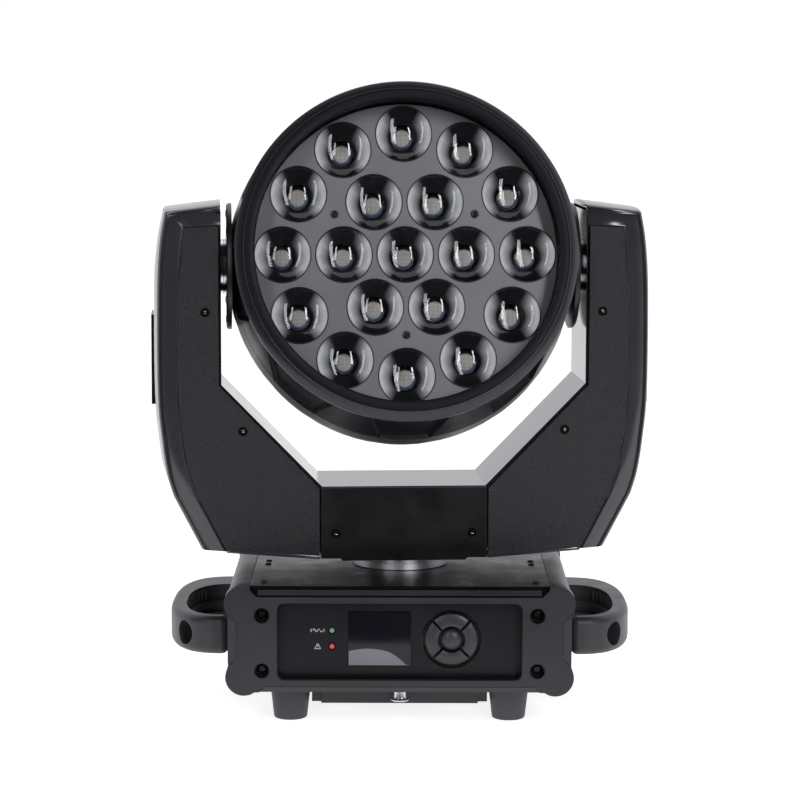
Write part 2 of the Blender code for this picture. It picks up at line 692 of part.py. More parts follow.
# ---------------------------------------------------------------- head
def lens_centres():
    """The centre lens, six round it and twelve round those, as (x, z)."""
    centres = [(0.0, 0.0)]
    for count, radius in ((6, LENS_PITCH), (12, 2 * LENS_PITCH)):
        turns = [2 * pi * i / count for i in range(count)]
        centres += [(radius * cos(t), radius * sin(t)) for t in turns]
    return centres


def make_front_ring():
    """The deep front ring. Its lip is narrower than the plate behind it."""
    profile = [(LIP_R + 0.0040, RING_FRONT), (RING_R - 0.0050, RING_FRONT), (RING_R, RING_FRONT + 0.0050)]
    profile += [(RING_R, -0.0680), (0.1285, -0.0672), (0.1280, -0.0420), (0.1200, -0.0420)]
    profile += [(0.1198, -0.0740), (LIP_R, -0.0755), (LIP_R, -0.0780), (LIP_R + 0.0015, -0.0785)]
    return turned("front_ring", profile, "Y", segments=FINE)


def shell_profile(inset):
    """Half of the head shell's outline as (radius, along), the wall's inner side when inset."""
    points = [(0.1312, -0.0665), (0.1345, -0.0450), (0.1400, -0.0150), (SHELL_R, 0.0050), (0.1400, 0.0250)]
    points += [(0.1320, 0.0600), (0.1180, 0.0880), (0.1110, 0.0960)]
    return [(radius - inset, along) for radius, along in points]


def make_head_shell():
    """The head's round housing, flat at both sides, open at the front and the rear."""
    outer = [(0, -0.0665)] + shell_profile(0) + [(0, 0.0960)]
    inner = [(0, -0.0800), (0.1290, -0.0800)] + shell_profile(0.003)[1:-1]
    inner += [(0.1040, 0.0960), (0.1040, 0.12), (0, 0.12)]
    shell = turned("head_shell", outer, "Y", segments=FINE)
    hollow = turned("hollow", inner, "Y", segments=FINE)
    wall = SHELL_SIDE_X - 0.003
    trim = [
        box("trim", (-0.2, -0.2, -0.2), (-wall, 0.2, 0.2)),
        box("trim", (wall, -0.2, -0.2), (0.2, 0.2, 0.2)),
    ]
    cut(hollow, *trim)
    sides = [
        box("side", (-0.2, -0.0640, -0.2), (-SHELL_SIDE_X, 0.2, 0.2)),
        box("side", (SHELL_SIDE_X, -0.0640, -0.2), (0.2, 0.2, 0.2)),
    ]
    wire_holes = rod("wire_holes", PIVOT_BORE_R, -0.2, 0.2, "X", segments=20)
    return cut(shell, hollow, *sides, wire_holes)


def make_rear_cover():
    """The head's back, a shallow dome with air slots."""
    profile = [(0, 0.1213), (0.0860, 0.1180), (0.0980, 0.1110), (0.1060, 0.1000), (0.1060, 0.0963)]
    profile += [(0.1100, 0.0963), (0.1100, 0.1020), (0.1020, 0.1140), (0.0900, 0.1210), (0, 0.1250)]
    cover = turned("rear_cover", profile, "Y", segments=28)
    slots = []
    for i in range(-3, 4):
        reach = 0.060 if abs(i) < 3 else 0.045
        slots.append(box("slot", (-reach, 0.05, i * 0.016 - 0.0030), (reach, 0.2, i * 0.016 + 0.0030)))
    return cut(cover, *slots)


def make_lens_plate():
    """The sliding plate that the lenses sit in."""
    plate = rod("lens_plate", PLATE_R, PLATE_FRONT, PLATE_FRONT + PLATE, "Y", segments=FINE)
    holes = [rod("hole", LENS_HOLE_R, -0.1, 0, "Y", (x, 0, z), 12) for x, z in lens_centres()]
    return cut(plate, *holes)


def make_lens_array():
    """One clear moulding: a backing sheet with a dome for each lens."""
    back = PLATE_FRONT + PLATE + GAP
    sheet = rod("lens_array", 0.1165, back, back + 0.002, "Y", segments=32)
    domes = []
    profile = [(0, back + 0.001), (LENS_R, back + 0.001), (LENS_R, PLATE_FRONT)]
    profile += [(LENS_R * 0.67, PLATE_FRONT - LENS_RISE * 0.74), (0, PLATE_FRONT - LENS_RISE)]
    for x, z in lens_centres():
        domes.append(turned("dome", profile, "Y", (x, 0, z), 12))
    return join(sheet, *domes)


def make_led_board():
    return rod("led_board", 0.1100, -0.0202, -0.0182, "Y", segments=24)


def make_heat_sink():
    """A round base with straight upright fins behind it."""
    sink = rod("heat_sink", 0.1050, -0.0178, -0.0118, "Y", segments=24)
    fins = []
    for i in range(-6, 7):
        x = i * 0.0140
        reach = sqrt(0.1000**2 - x**2)
        fins.append(box("fin", (x - 0.0010, -0.0130, -reach), (x + 0.0010, 0.0380, reach)))
    return join(sink, *fins)


def make_head_fan():
    """A fan rotor with seven pitched blades."""
    fan = rod("head_fan", 0.0180, 0.0480, 0.0640, "Y", segments=20)
    blades = []
    for i in range(7):
        blade = box("blade", (0.0150, -0.0012, -0.0100), (0.0520, 0.0012, 0.0100))
        turn = Matrix.Rotation(2 * pi * i / 7, 4, "Y")
        pitch = Matrix.Translation((0, 0.0560, 0)) @ Matrix.Rotation(radians(55), 4, "X")
        blade.data.transform(turn @ pitch)
        blades.append(blade)
    return join(fan, *blades)


def make_zoom_motor():
    centre = (0, 0, -SCREW_CIRCLE_R)
    return rod("zoom_motor", 0.0100, -0.0330, -0.0206, "Y", centre, 20)


def make_zoom_screw():
    centre = (0, 0, -SCREW_CIRCLE_R)
    return rod("zoom_screw", ZOOM_SCREW_R, -0.0475, -0.0334, "Y", centre, 12)


def make_pivot(name, sign, with_pulley):
    """A side plate on the head with a hollow shaft through the arm. One ends in the tilt pulley."""
    inner, outer = SIDE_PLATE_X
    hub, flange = PIVOT_R + 0.0030, TILT_PULLEY_R + 0.002
    profile = [(PIVOT_BORE_R, inner), (SIDE_PLATE_R, inner), (SIDE_PLATE_R, outer - 0.0010)]
    profile += [(SIDE_PLATE_R - 0.001, outer), (hub, outer)]
    profile += [(hub, INNER_X - 0.0012), (PIVOT_R, INNER_X - 0.0012)]
    if with_pulley:
        low, high = TILT_BELT_X
        profile += [(PIVOT_R, low - 0.0020), (flange, low - 0.0020), (flange, low - 0.0006)]
        profile += [(TILT_PULLEY_R, low - 0.0006), (TILT_PULLEY_R, high + 0.0006), (flange, high + 0.0006)]
        profile += [(flange, high + 0.0018), (PIVOT_BORE_R, high + 0.0018)]
    else:
        profile += [(PIVOT_R, 0.1520), (PIVOT_BORE_R, 0.1520)]
    return turned(name, [(radius, sign * along) for radius, along in profile], "X", segments=20)


# ---------------------------------------------------------------- assembly
def build_base(stand, looks):
    black, rubber = looks["satin_black"], looks["rubber"]
    finish(make_chassis(), black, stand)
    finish(make_side("base_side_left", -1), black, stand)
    finish(make_side("base_side_right", 1), black, stand)
    finish(make_top_plate(), black, stand)
    finish(make_bezel("front_bezel", -BODY_Y - SHEET - GAP, -DEPTH), black, stand)
    finish(make_bezel("rear_bezel", BODY_Y + SHEET + GAP, DEPTH), black, stand)
    finish(make_connector_panel(), black, stand)
    finish(make_connector("power_inlet", 0.058, 0.0095), looks["button"], stand)
    finish(make_connector("data_inlet", -0.022, 0.0085), looks["button"], stand)
    finish(make_connector("data_outlet", -0.062, 0.0085), looks["button"], stand)
    finish(make_handle("handle_left", -1), rubber, stand)
    finish(make_handle("handle_right", 1), rubber, stand)
    for side, x in (("left", -FOOT_X), ("right", FOOT_X)):
        for end, y in (("front", -FOOT_Y), ("rear", FOOT_Y)):
            finish(make_foot(f"foot_{end}_{side}", x, y), rubber, stand)
    finish(make_clamp_plate(), black, stand)
    finish(make_safety_stud(), looks["steel"], stand)
    finish(make_power_supply(), looks["aluminium"], stand)


def build_controls(stand, looks):
    finish(make_control_panel(), looks["satin_black"], stand)
    finish(make_control_board(), looks["circuit"], stand)
    finish(make_display(), looks["screen"], stand)
    finish(make_status_led("signal_led", LED_Z[0]), looks["green"], stand)
    finish(make_status_led("error_led", LED_Z[1]), looks["red"], stand)
    centre = (PAD_CENTRE[0], PANEL_Y, PAD_CENTRE[1])
    for direction in ("up", "down", "left", "right"):
        finish(make_arrow_button(f"button_{direction}", direction), looks["button"], stand, centre)
    finish(make_enter_button(), looks["button"], stand, centre)


def build_pan_drive(stand, looks):
    finish(make_pan_bearing(), looks["aluminium"], stand)
    finish(make_pan_motor(), looks["button"], stand)
    motor = (PAN_MOTOR_X, 0, 0)
    low, high = PAN_BELT_Z
    pinion = make_pinion("pan_motor_pulley", PAN_PINION_R, low, high, 0.0016, low - 0.0032, "Z", motor)
    finish(pinion, looks["aluminium"], stand, motor)
    belt = make_belt("pan_belt", (0, 0), PAN_PULLEY_R, motor[:2], PAN_PINION_R, low, high, "Z")
    finish(belt, looks["belt"], stand)


def build_yoke(yoke, looks):
    black, grain = looks["satin_black"], looks["grain_black"]
    finish(make_yoke_frame(), black, yoke)
    finish(make_pan_shaft(), looks["steel"], yoke)
    panel_back, panel_front = ARM_Y - 0.0026, ARM_Y - 0.0006
    for side, sign in (("left", -1), ("right", 1)):
        finish(make_arm_shell(f"arm_shell_{side}", sign), black, yoke)
        finish(make_arm_panel(f"arm_front_panel_{side}", sign, -panel_front, -panel_back), grain, yoke)
        finish(make_arm_panel(f"arm_rear_panel_{side}", sign, panel_back, panel_front), grain, yoke)
        finish(make_side_vent(f"side_vent_{side}", sign), black, yoke)
    finish(make_bridge_panel("bridge_front_panel", -ARM_Y, -COVER_Y), grain, yoke)
    finish(make_bridge_panel("bridge_rear_panel", COVER_Y, ARM_Y), grain, yoke)
    finish(make_tilt_motor(), looks["button"], yoke)
    root = TILT_MOTOR_X[1] + GAP
    motor = (0, 0, TILT_MOTOR_Z)
    pinion = make_pinion("tilt_motor_pulley", TILT_PINION_R, *TILT_BELT_X, 0.0012, root, "X", motor)
    finish(pinion, looks["aluminium"], yoke, motor)
    wheels = (0, TILT_Z), TILT_PULLEY_R, (0, TILT_MOTOR_Z), TILT_PINION_R
    belt = make_belt("tilt_belt", *wheels, *TILT_BELT_X, "X")
    finish(belt, looks["belt"], yoke)


def build_head(head, looks):
    black = looks["satin_black"]
    finish(make_head_shell(), black, head)
    finish(make_rear_cover(), black, head)
    finish(make_front_ring(), black, head)
    finish(make_pivot("pivot_left", -1, False), black, head)
    finish(make_pivot("pivot_right", 1, True), black, head)
    finish(make_lens_plate(), looks["plate_grey"], head)
    finish(make_lens_array(), looks["clear"], head)
    finish(make_led_board(), looks["circuit"], head)
    finish(make_heat_sink(), looks["aluminium"], head)
    finish(make_head_fan(), looks["button"], head)
    finish(make_zoom_motor(), looks["button"], head)
    finish(make_zoom_screw(), looks["steel"], head, (0, 0, -SCREW_CIRCLE_R))


def main():
    clear_scene()
    looks = make_materials()
    stand = empty("stand", None, (0, PAN_Y, 0), (0, 0, 0))
    yoke = empty("pan_axis", stand, (0, 0, 0), (0, 0, REST_PAN))
    head = empty("tilt_axis", yoke, (0, 0, TILT_Z), (-REST_TILT, 0, 0))
    build_base(stand, looks)
    build_controls(stand, looks)
    build_pan_drive(stand, looks)
    build_yoke(yoke, looks)
    build_head(head, looks)


main()
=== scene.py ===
"""Looks of the moving head light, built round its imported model.

Metres. Each piece is modelled in the frame of the axis that carries it, as the model is: the base with
the pan axis at x = y = 0, the yoke turned with it, and the head with its tilt axis along X through the
origin and its lenses facing -Y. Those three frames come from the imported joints.
"""

import json
from math import atan2, cos, pi, radians, sin, sqrt

import bmesh
import bpy
from mathutils import Matrix, Vector


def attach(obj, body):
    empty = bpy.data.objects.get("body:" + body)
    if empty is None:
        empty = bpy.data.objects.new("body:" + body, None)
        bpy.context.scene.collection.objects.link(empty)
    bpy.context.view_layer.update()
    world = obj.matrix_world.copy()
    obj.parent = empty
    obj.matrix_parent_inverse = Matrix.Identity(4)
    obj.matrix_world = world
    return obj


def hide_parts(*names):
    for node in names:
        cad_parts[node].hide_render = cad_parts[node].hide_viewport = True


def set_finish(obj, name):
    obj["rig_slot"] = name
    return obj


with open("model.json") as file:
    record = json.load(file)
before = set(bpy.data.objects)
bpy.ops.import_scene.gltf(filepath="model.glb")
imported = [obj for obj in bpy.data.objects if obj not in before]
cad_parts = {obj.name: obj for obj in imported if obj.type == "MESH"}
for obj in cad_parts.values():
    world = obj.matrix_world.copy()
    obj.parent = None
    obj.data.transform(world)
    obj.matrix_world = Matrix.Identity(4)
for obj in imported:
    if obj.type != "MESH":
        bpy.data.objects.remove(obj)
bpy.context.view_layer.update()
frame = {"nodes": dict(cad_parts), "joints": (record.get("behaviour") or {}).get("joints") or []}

# Frames of the three axes
JOINTS = {joint["name"]: joint for joint in frame["joints"]}
PAN = Vector(JOINTS["pan"]["pos_m"])
TILT = Vector(JOINTS["tilt"]["pos_m"])
ACROSS = Vector(JOINTS["tilt"]["axis"]).normalized()
FORWARD = Vector(JOINTS["zoom"]["axis"]).normalized()
UP = Vector((0, 0, 1))

# How far out cutters start, past everything
FAR = 0.2

# Base
BEZEL_BACK = 0.1038
BEZEL_FRONT = 0.1160
FLOOR_Z = 0.0288
TOP_Z = 0.1098
SIDE_X = 0.1317
UPPER_EAR = (0.1200, 0.0975)
LOWER_EAR = (0.1192, 0.0405)
EAR_R = 0.0143
WINDOW_X = (-0.0940, 0.0940)
WINDOW_R = 0.0055
WINDOW_Z = (0.0382, 0.0982)
BEZEL_SCREWS = [(x, z) for x in (-0.1054, 0.1054) for z in (0.0885, 0.0456)]
PANEL_Y = -0.1045
DISPLAY_X = (-0.0398, 0.0088)
DISPLAY_Z = (0.0472, 0.0902)
LED_X = -0.0520
LED_Z = {"signal": 0.0750, "error": 0.0625}
PAD = (0.0398, 0.0683)
PAD_R = 0.0222
SOCKETS = {"power_inlet": (0.058, 0.0095), "data_inlet": (-0.022, 0.0085), "data_outlet": (-0.062, 0.0085)}
SOCKET_Z = 0.0675
COLUMN_R = 0.0375
COLUMN_TOP = 0.1222
FOOT = (0.0850, 0.0725)
STUD = (0.0004, -0.0880)
LOCK = (0.0450, 0.0400)
TOP_LIP_X = 0.1086
TOP_SCREW_X = 0.1050
TOP_SCREWS_Y = (-0.0862, -0.0100, 0.0050, 0.0862)

# Handles
HANDLE_X = 0.1323
HANDLE_Z = (0.0530, 0.0825)
HANDLE_REACH = 0.0495
HANDLE_HALF = 0.0915
GAP_MIDDLE_Y = -0.0145
GAP_X = HANDLE_X + 0.0035
GAP_POWER = 2.6

# Yoke
ARM_Y = 0.0481
SHELL_WALL = 0.0028
YOKE_SCREWS = [(0.1550, 0.3155, 0.0475), (0.1260, 0.2225, 0.0475), (0.0535, 0.1415, ARM_Y)]
SEAM_X = 0.0642

# Head
RING_R = 0.1322
LIP_R = 0.1172
RING_FRONT = -0.0800
PLATE_FRONT = -0.0535
LENS_PITCH = 0.0475
LENS_R = 0.0215
LENS_HOLE_R = 0.0224
LENS_RISE = 0.0102
PLATE_SCREW_R = 0.0630
SHELL_FLAT_X = 0.1335
POCKETS = 9
POCKET_DEPTH = 0.0030
COLLAR_R = 0.1288
SHELL_MEAN_R = 0.1350
SHELL_NARROWING = 0.032
REAR_SCREW_R = 0.0880
PIVOT_SCREW_R = 0.0420

# Studio
TABLE_FRONT = -0.44
WORLD_SHADES = [(0.001, 0.008), (0.30, 0.012), (0.42, 0.30), (0.47, 1.15), (0.58, 1.15), (0.72, 0.88)]
WORLD_SHADES += [(0.999, 0.84)]
WORLD_STRENGTH = 1.1
STRIP_POWER = {-1: 9.5, 1: 19.0}
STRIP_SIZE = (0.21, 1.55)
CEILING_SHADE = 0.55
STRIP_COLOUR = (0.99, 0.985, 1.04)
STRIP_AZIMUTH, STRIP_ELEVATION, STRIP_DISTANCE = 24.5, 21, 2.2
AIM = Vector((0, 0, 0.30))
CAMERA_LENS = 130.76
CAMERA_X, CAMERA_DISTANCE, CAMERA_Z = -0.0002, 2.2988, 0.5143
CAMERA_PITCH, CAMERA_ROLL = 6.784, 0.147


# ---------------------------------------------------------------- frames and mesh helpers
def basis(x_axis, y_axis, origin):
    """The matrix of a frame from two of its axes and its origin."""
    turn = Matrix((x_axis, y_axis, x_axis.cross(y_axis))).transposed()
    return Matrix.Translation(origin) @ turn.to_4x4()


PLACES = {
    "base": Matrix.Translation((PAN.x, PAN.y, 0)),
    "yoke": basis(ACROSS, UP.cross(ACROSS), Vector((PAN.x, PAN.y, 0))),
    "head": basis(ACROSS, -FORWARD, TILT),
}
PLACES["zoom_carriage"] = PLACES["head"]


def obj_from(mesh):
    """A scene object from a bmesh, its faces turned outwards."""
    bmesh.ops.remove_doubles(mesh, verts=mesh.verts, dist=1e-7)
    bmesh.ops.recalc_face_normals(mesh, faces=mesh.faces)
    data = bpy.data.meshes.new("mesh")
    mesh.to_mesh(data)
    mesh.free()
    obj = bpy.data.objects.new("mesh", data)
    bpy.context.scene.collection.objects.link(obj)
    return obj


def on_axis(axis, a, b, along):
    """A point with a and b across the axis and `along` on it."""
    return {"X": (along, a, b), "Y": (a, along, b), "Z": (a, b, along)}[axis]


def arc(centre, radius, start, end, steps):
    """Points on a circle between two angles in degrees."""
    angles = [radians(start + (end - start) * i / steps) for i in range(steps + 1)]
    return [(centre[0] + radius * cos(t), centre[1] + radius * sin(t)) for t in angles]


def rounded_box(x, z, radius, steps=6):
    """The outline of a rectangle with round corners."""
    outline = arc((x[1] - radius, z[1] - radius), radius, 0, 90, steps)
    outline += arc((x[0] + radius, z[1] - radius), radius, 90, 180, steps)
    outline += arc((x[0] + radius, z[0] + radius), radius, 180, 270, steps)
    return outline + arc((x[1] - radius, z[0] + radius), radius, 270, 360, steps)


def inset(ends, gap):
    """A span from low to high, made shorter by a gap at both ends."""
    return (ends[0] + gap, ends[1] - gap)


def span(middle, half):
    return (middle - half, middle + half)


def loft(sections, closed=False):
    """Skins equal closed loops of points one after the other, and caps both ends unless it runs round."""
    mesh = bmesh.new()
    rings = [[mesh.verts.new(point) for point in section] for section in sections]
    count = len(rings[0])
    for lower, upper in zip(rings, rings[1:] + rings[:1] if closed else rings[1:]):
        for i in range(count):
            j = (i + 1) % count
            mesh.faces.new((lower[i], lower[j], upper[j], upper[i]))
    if not closed:
        mesh.faces.new(rings[0])
        mesh.faces.new(rings[-1])
    return obj_from(mesh)


def prism(outline, low, high, axis):
    return loft([[on_axis(axis, a, b, along) for a, b in outline] for along in (low, high)])


def box(low, high):
    outline = [(low[0], low[1]), (high[0], low[1]), (high[0], high[1]), (low[0], high[1])]
    return prism(outline, low[2], high[2], "Z")


def turned(profile, axis="Z", centre=(0, 0, 0), segments=64):
    """A solid of revolution from (radius, along) points, a ring unless both ends lie on the axis."""
    mesh = bmesh.new()
    rings = []
    for radius, along in profile:
        angles = [2 * pi * i / segments for i in range(segments if radius else 1)]
        rings.append([mesh.verts.new(on_axis(axis, radius * cos(t), radius * sin(t), along)) for t in angles])
    for lower, upper in zip(rings, rings[1:] + (rings[:1] if profile[0][0] else [])):
        for i in range(segments):
            j = (i + 1) % segments
            corners = [lower[i % len(lower)], lower[j % len(lower)]]
            corners += [upper[j % len(upper)], upper[i % len(upper)]]
            mesh.faces.new(list(dict.fromkeys(corners)))
    bmesh.ops.translate(mesh, vec=Vector(centre), verts=mesh.verts)
    return obj_from(mesh)


def rod(radius, low, high, axis, centre=(0, 0, 0), segments=48):
    across = {"X": (centre[1], centre[2]), "Y": (centre[0], centre[2]), "Z": (centre[0], centre[1])}[axis]
    return prism(arc(across, radius, 0, 360, segments)[:-1], low, high, axis)


def hull(points):
    """The convex solid round the points."""
    mesh = bmesh.new()
    for point in points:
        mesh.verts.new(point)
    bmesh.ops.convex_hull(mesh, input=mesh.verts)
    return obj_from(mesh)


def tube(points, radius, segments=10):
    """A round wire along straight runs between points in one plane."""
    sections = []
    path = [Vector(point) for point in points]
    for i, here in enumerate(path):
        along = (path[min(i + 1, len(path) - 1)] - path[max(i - 1, 0)]).normalized()
        side = along.cross(Vector((0, 1, 0))).normalized()
        over = along.cross(side)
        turns = [2 * pi * k / segments for k in range(segments)]
        sections.append([here + radius * (cos(t) * side + sin(t) * over) for t in turns])
    return loft(sections)


def merged(objects):
    """One object that holds the meshes of all of them."""
    mesh = bmesh.new()
    for obj in objects:
        mesh.from_mesh(obj.data)
        bpy.data.objects.remove(obj, do_unlink=True)
    return obj_from(mesh)


def settled(obj):
    """The object with its modifiers worked into its mesh."""
    bpy.context.view_layer.update()
    graph = bpy.context.evaluated_depsgraph_get()
    data = bpy.data.meshes.new_from_object(obj.evaluated_get(graph))
    obj.modifiers.clear()
    obj.data = data
    return obj


def cut(target, *cutters):
    """The target with all the cutters taken away, which may overlap each other."""
    tool = merged(cutters)
    boolean = target.modifiers.new("Cut", "BOOLEAN")
    boolean.operation = "DIFFERENCE"
    boolean.use_self = len(cutters) > 1
    boolean.object = tool
    settled(target)
    bpy.data.objects.remove(tool, do_unlink=True)
    return target


def softened(obj, width, segments=2, angle=28):
    """Rounds the sharp edges."""
    bevel = obj.modifiers.new("Edges", "BEVEL")
    bevel.width = width
    bevel.segments = segments
    bevel.limit_method = "ANGLE"
    bevel.angle_limit = radians(angle)
    return settled(obj)


def flat_faces_first(obj):
    """Lets large faces set the normals at their edges, so that they stay flat next to their bevels."""
    weighted = obj.modifiers.new("Normals", "WEIGHTED_NORMAL")
    weighted.keep_sharp = True
    weighted.weight = 100
    settled(obj)


def moved(obj, matrix):
    obj.data.transform(matrix)
    return obj


def mirrored(obj):
    """The object's mirror image across x = 0."""
    moved(obj, Matrix.Scale(-1, 4, (1, 0, 0)))
    obj.data.flip_normals()
    return obj


def sided(obj, side):
    """The piece as made on the right, or its mirror image for the left."""
    return mirrored(obj) if side == "left" else obj


def flat_copy(node, place):
    """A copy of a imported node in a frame's own coordinates, with its flat faces whole again."""
    mesh = bmesh.new()
    mesh.from_mesh(frame["nodes"][node].data)
    mesh.transform(PLACES[place].inverted())
    bmesh.ops.remove_doubles(mesh, verts=mesh.verts, dist=1e-6)
    bmesh.ops.dissolve_limit(mesh, angle_limit=radians(0.8), verts=mesh.verts, edges=mesh.edges)
    return obj_from(mesh)


# ---------------------------------------------------------------- materials
def settings(node, values):
    """Sets the node's inputs."""
    for socket, value in values.items():
        node.inputs[socket].default_value = value


class Graph:
    """The node tree of a material or a world."""

    def __init__(self, owner, kind="Object"):
        owner.use_nodes = True
        self.nodes = owner.node_tree.nodes
        self.links = owner.node_tree.links
        self.place = self.add("ShaderNodeTexCoord").outputs[kind]

    def add(self, kind, **values):
        node = self.nodes.new(kind)
        for key, value in values.items():
            if key in node.inputs:
                node.inputs[key].default_value = value
            else:
                setattr(node, key, value)
        return node

    def link(self, output, node, socket):
        self.links.new(output, node.inputs[socket])

    def mapped(self, **values):
        """The place scaled, turned or moved."""
        mapping = self.add("ShaderNodeMapping", **values)
        self.link(self.place, mapping, "Vector")
        return mapping.outputs["Vector"]

    def local(self, place):
        """The place in the coordinates of one of the frames."""
        back = PLACES[place].inverted()
        return self.mapped(Location=back.to_translation(), Rotation=back.to_euler())

    def maths(self, operation, first, second=None, fixed=0.0):
        node = self.add("ShaderNodeMath", operation=operation)
        self.link(first, node, 0)
        node.inputs[1].default_value = fixed
        if second:
            self.link(second, node, 1)
        return node.outputs["Value"]

    def noise(self, scale, detail=2.0, vector=None, rough=0.5):
        node = self.add("ShaderNodeTexNoise", Scale=scale, Detail=detail, Roughness=rough)
        self.link(vector or self.place, node, "Vector")
        return node.outputs["Fac"]

    def cells(self, scale, feature="SMOOTH_F1"):
        node = self.add("ShaderNodeTexVoronoi", feature=feature, Scale=scale)
        self.link(self.place, node, "Vector")
        return node.outputs["Distance"]

    def spread(self, value, low, high, start=0.3, end=0.7):
        """Maps a pattern to numbers between low and high."""
        node = self.add("ShaderNodeMapRange")
        for socket, number in (("From Min", start), ("From Max", end), ("To Min", low), ("To Max", high)):
            node.inputs[socket].default_value = number
        self.link(value, node, "Value")
        return node.outputs["Result"]

    def shades(self, value, dark, light, start=0.3, end=0.7):
        """Maps a pattern to colours between dark and light."""
        ramp = self.add("ShaderNodeValToRGB")
        ramp.color_ramp.elements[0].position = start
        ramp.color_ramp.elements[1].position = end
        ramp.color_ramp.elements[0].color = (*dark, 1)
        ramp.color_ramp.elements[1].color = (*light, 1)
        self.link(value, ramp, "Fac")
        return ramp.outputs["Color"]

    def blend(self, first, second, share):
        node = self.add("ShaderNodeMath", operation="MULTIPLY_ADD")
        self.link(second, node, 0)
        node.inputs[1].default_value = share
        self.link(first, node, 2)
        return node.outputs["Value"]


class Finish(Graph):
    """A material with its Principled shader."""

    def __init__(self, name, values=None):
        self.material = bpy.data.materials.new(name)
        super().__init__(self.material)
        self.shader = self.nodes["Principled BSDF"]
        settings(self.shader, values or {})

    def drive(self, socket, output):
        self.link(output, self.shader, socket)

    def relief(self, height, depth):
        node = self.add("ShaderNodeBump", Strength=1.0, Distance=depth)
        self.link(height, node, "Height")
        self.drive("Normal", node.outputs["Normal"])


def scaled(colour, factor):
    return tuple(channel * factor for channel in colour)


def coated(name, colour, roughness, grain, depth, uneven=0.15, metallic=0.0, patchy=0.05, ior=1.5, level=0.5):
    """Paint or moulded plastic: a fine grain, uneven gloss and a slight drift of colour."""
    graph = Finish(name, {"Metallic": metallic, "IOR": ior, "Specular IOR Level": level})
    drift = graph.noise(14, 4)
    graph.drive("Base Color", graph.shades(drift, scaled(colour, 1 - uneven), scaled(colour, 1 + uneven)))
    graph.drive("Roughness", graph.spread(graph.noise(45, 5), roughness - patchy, roughness + patchy))
    graph.relief(graph.noise(grain, 3), depth)
    return graph.material


def grained(name, colour, roughness, cell=900, depth=0.00016):
    """Textured powder coat like leather: rounded cells with fine noise over them."""
    graph = Finish(name)
    cells = graph.cells(cell)
    fine = graph.noise(cell * 2.2, 3)
    height = graph.blend(cells, fine, 0.7)
    graph.relief(height, depth)
    graph.drive("Base Color", graph.shades(cells, scaled(colour, 2.1), scaled(colour, 0.5), 0.15, 0.7))
    graph.drive("Roughness", graph.spread(fine, roughness - 0.06, roughness + 0.10))
    return graph.material


def machined(name, colour, roughness, stretch, depth=0.00002):
    """Bare metal with fine tool marks, closest together along the axis with the largest number."""
    graph = Finish(name, {"Metallic": 1.0})
    marks = graph.noise(1.0, 4, graph.mapped(Scale=stretch))
    graph.drive("Base Color", graph.shades(marks, scaled(colour, 0.86), scaled(colour, 1.06)))
    graph.drive("Roughness", graph.spread(marks, roughness - 0.04, roughness + 0.07))
    graph.relief(marks, depth)
    return graph.material


def glassy(name, colour, ior=1.49):
    graph = Finish(name, {"Base Color": (*colour, 1), "Transmission Weight": 1.0, "IOR": ior})
    graph.drive("Roughness", graph.spread(graph.noise(60, 3), 0.0, 0.004))
    return graph.material


def emitter_face(name):
    """The LED's exit window: a pale disc with a faint grid of dies."""
    glow = (0.62, 0.60, 0.52, 1)
    graph = Finish(name, {"Roughness": 0.35, "Emission Color": glow, "Emission Strength": 0.08})
    brick = graph.add("ShaderNodeTexBrick", offset=0.0, squash=1.0)
    settings(brick, {"Scale": 1.0, "Mortar Size": 0.00025, "Brick Width": 0.0021, "Row Height": 0.0021})
    settings(brick, {"Color1": (0.40, 0.39, 0.33, 1), "Color2": (0.37, 0.36, 0.31, 1)})
    settings(brick, {"Mortar": (0.31, 0.30, 0.27, 1)})
    graph.link(graph.mapped(Rotation=(radians(90), 0, 0)), brick, "Vector")
    graph.drive("Base Color", brick.outputs["Color"])
    return graph.material


def lens_wall_painted_light(name):
    """The side of a lens seat, with light painted on it: pale and glowing at the rim, and fading towards the
    middle, the top and the foot.
    """
    # the emission makes the painted light glow behind the glass
    graph = Finish(name, {"Roughness": 0.4, "Specular IOR Level": 0.10, "Emission Strength": 0.85})
    parts = graph.add("ShaderNodeSeparateXYZ")
    graph.link(graph.local("head"), parts, "Vector")
    squares = [graph.maths("POWER", graph.maths("ABSOLUTE", parts.outputs[axis]), fixed=2.0) for axis in "XZ"]
    radius = graph.maths("POWER", graph.maths("ADD", *squares), fixed=0.5)
    height = graph.maths("DIVIDE", graph.maths("ABSOLUTE", parts.outputs["Z"]), radius)
    outwards = graph.spread(radius, 0.0, 1.0, 0.0078, 0.0165)
    level = graph.spread(height, 1.0, 0.0, 0.50, 0.86)
    share = graph.maths("MULTIPLY", outwards, level)
    uneven = graph.spread(graph.noise(260, 3), 0.85, 1.0)
    painted_light = graph.maths("MULTIPLY", share, uneven)
    shade = graph.shades(painted_light, (0.005, 0.005, 0.006), (0.40, 0.405, 0.41), 0.0, 1.0)
    graph.drive("Base Color", shade)
    graph.drive("Emission Color", shade)
    return graph.material


def lit(name, colour, glow):
    graph = Finish(name, {"Roughness": 0.25, "Emission Strength": glow})
    tint = graph.shades(graph.noise(900, 2), scaled(colour, 0.8), colour)
    graph.drive("Base Color", tint)
    graph.drive("Emission Color", tint)
    return graph.material


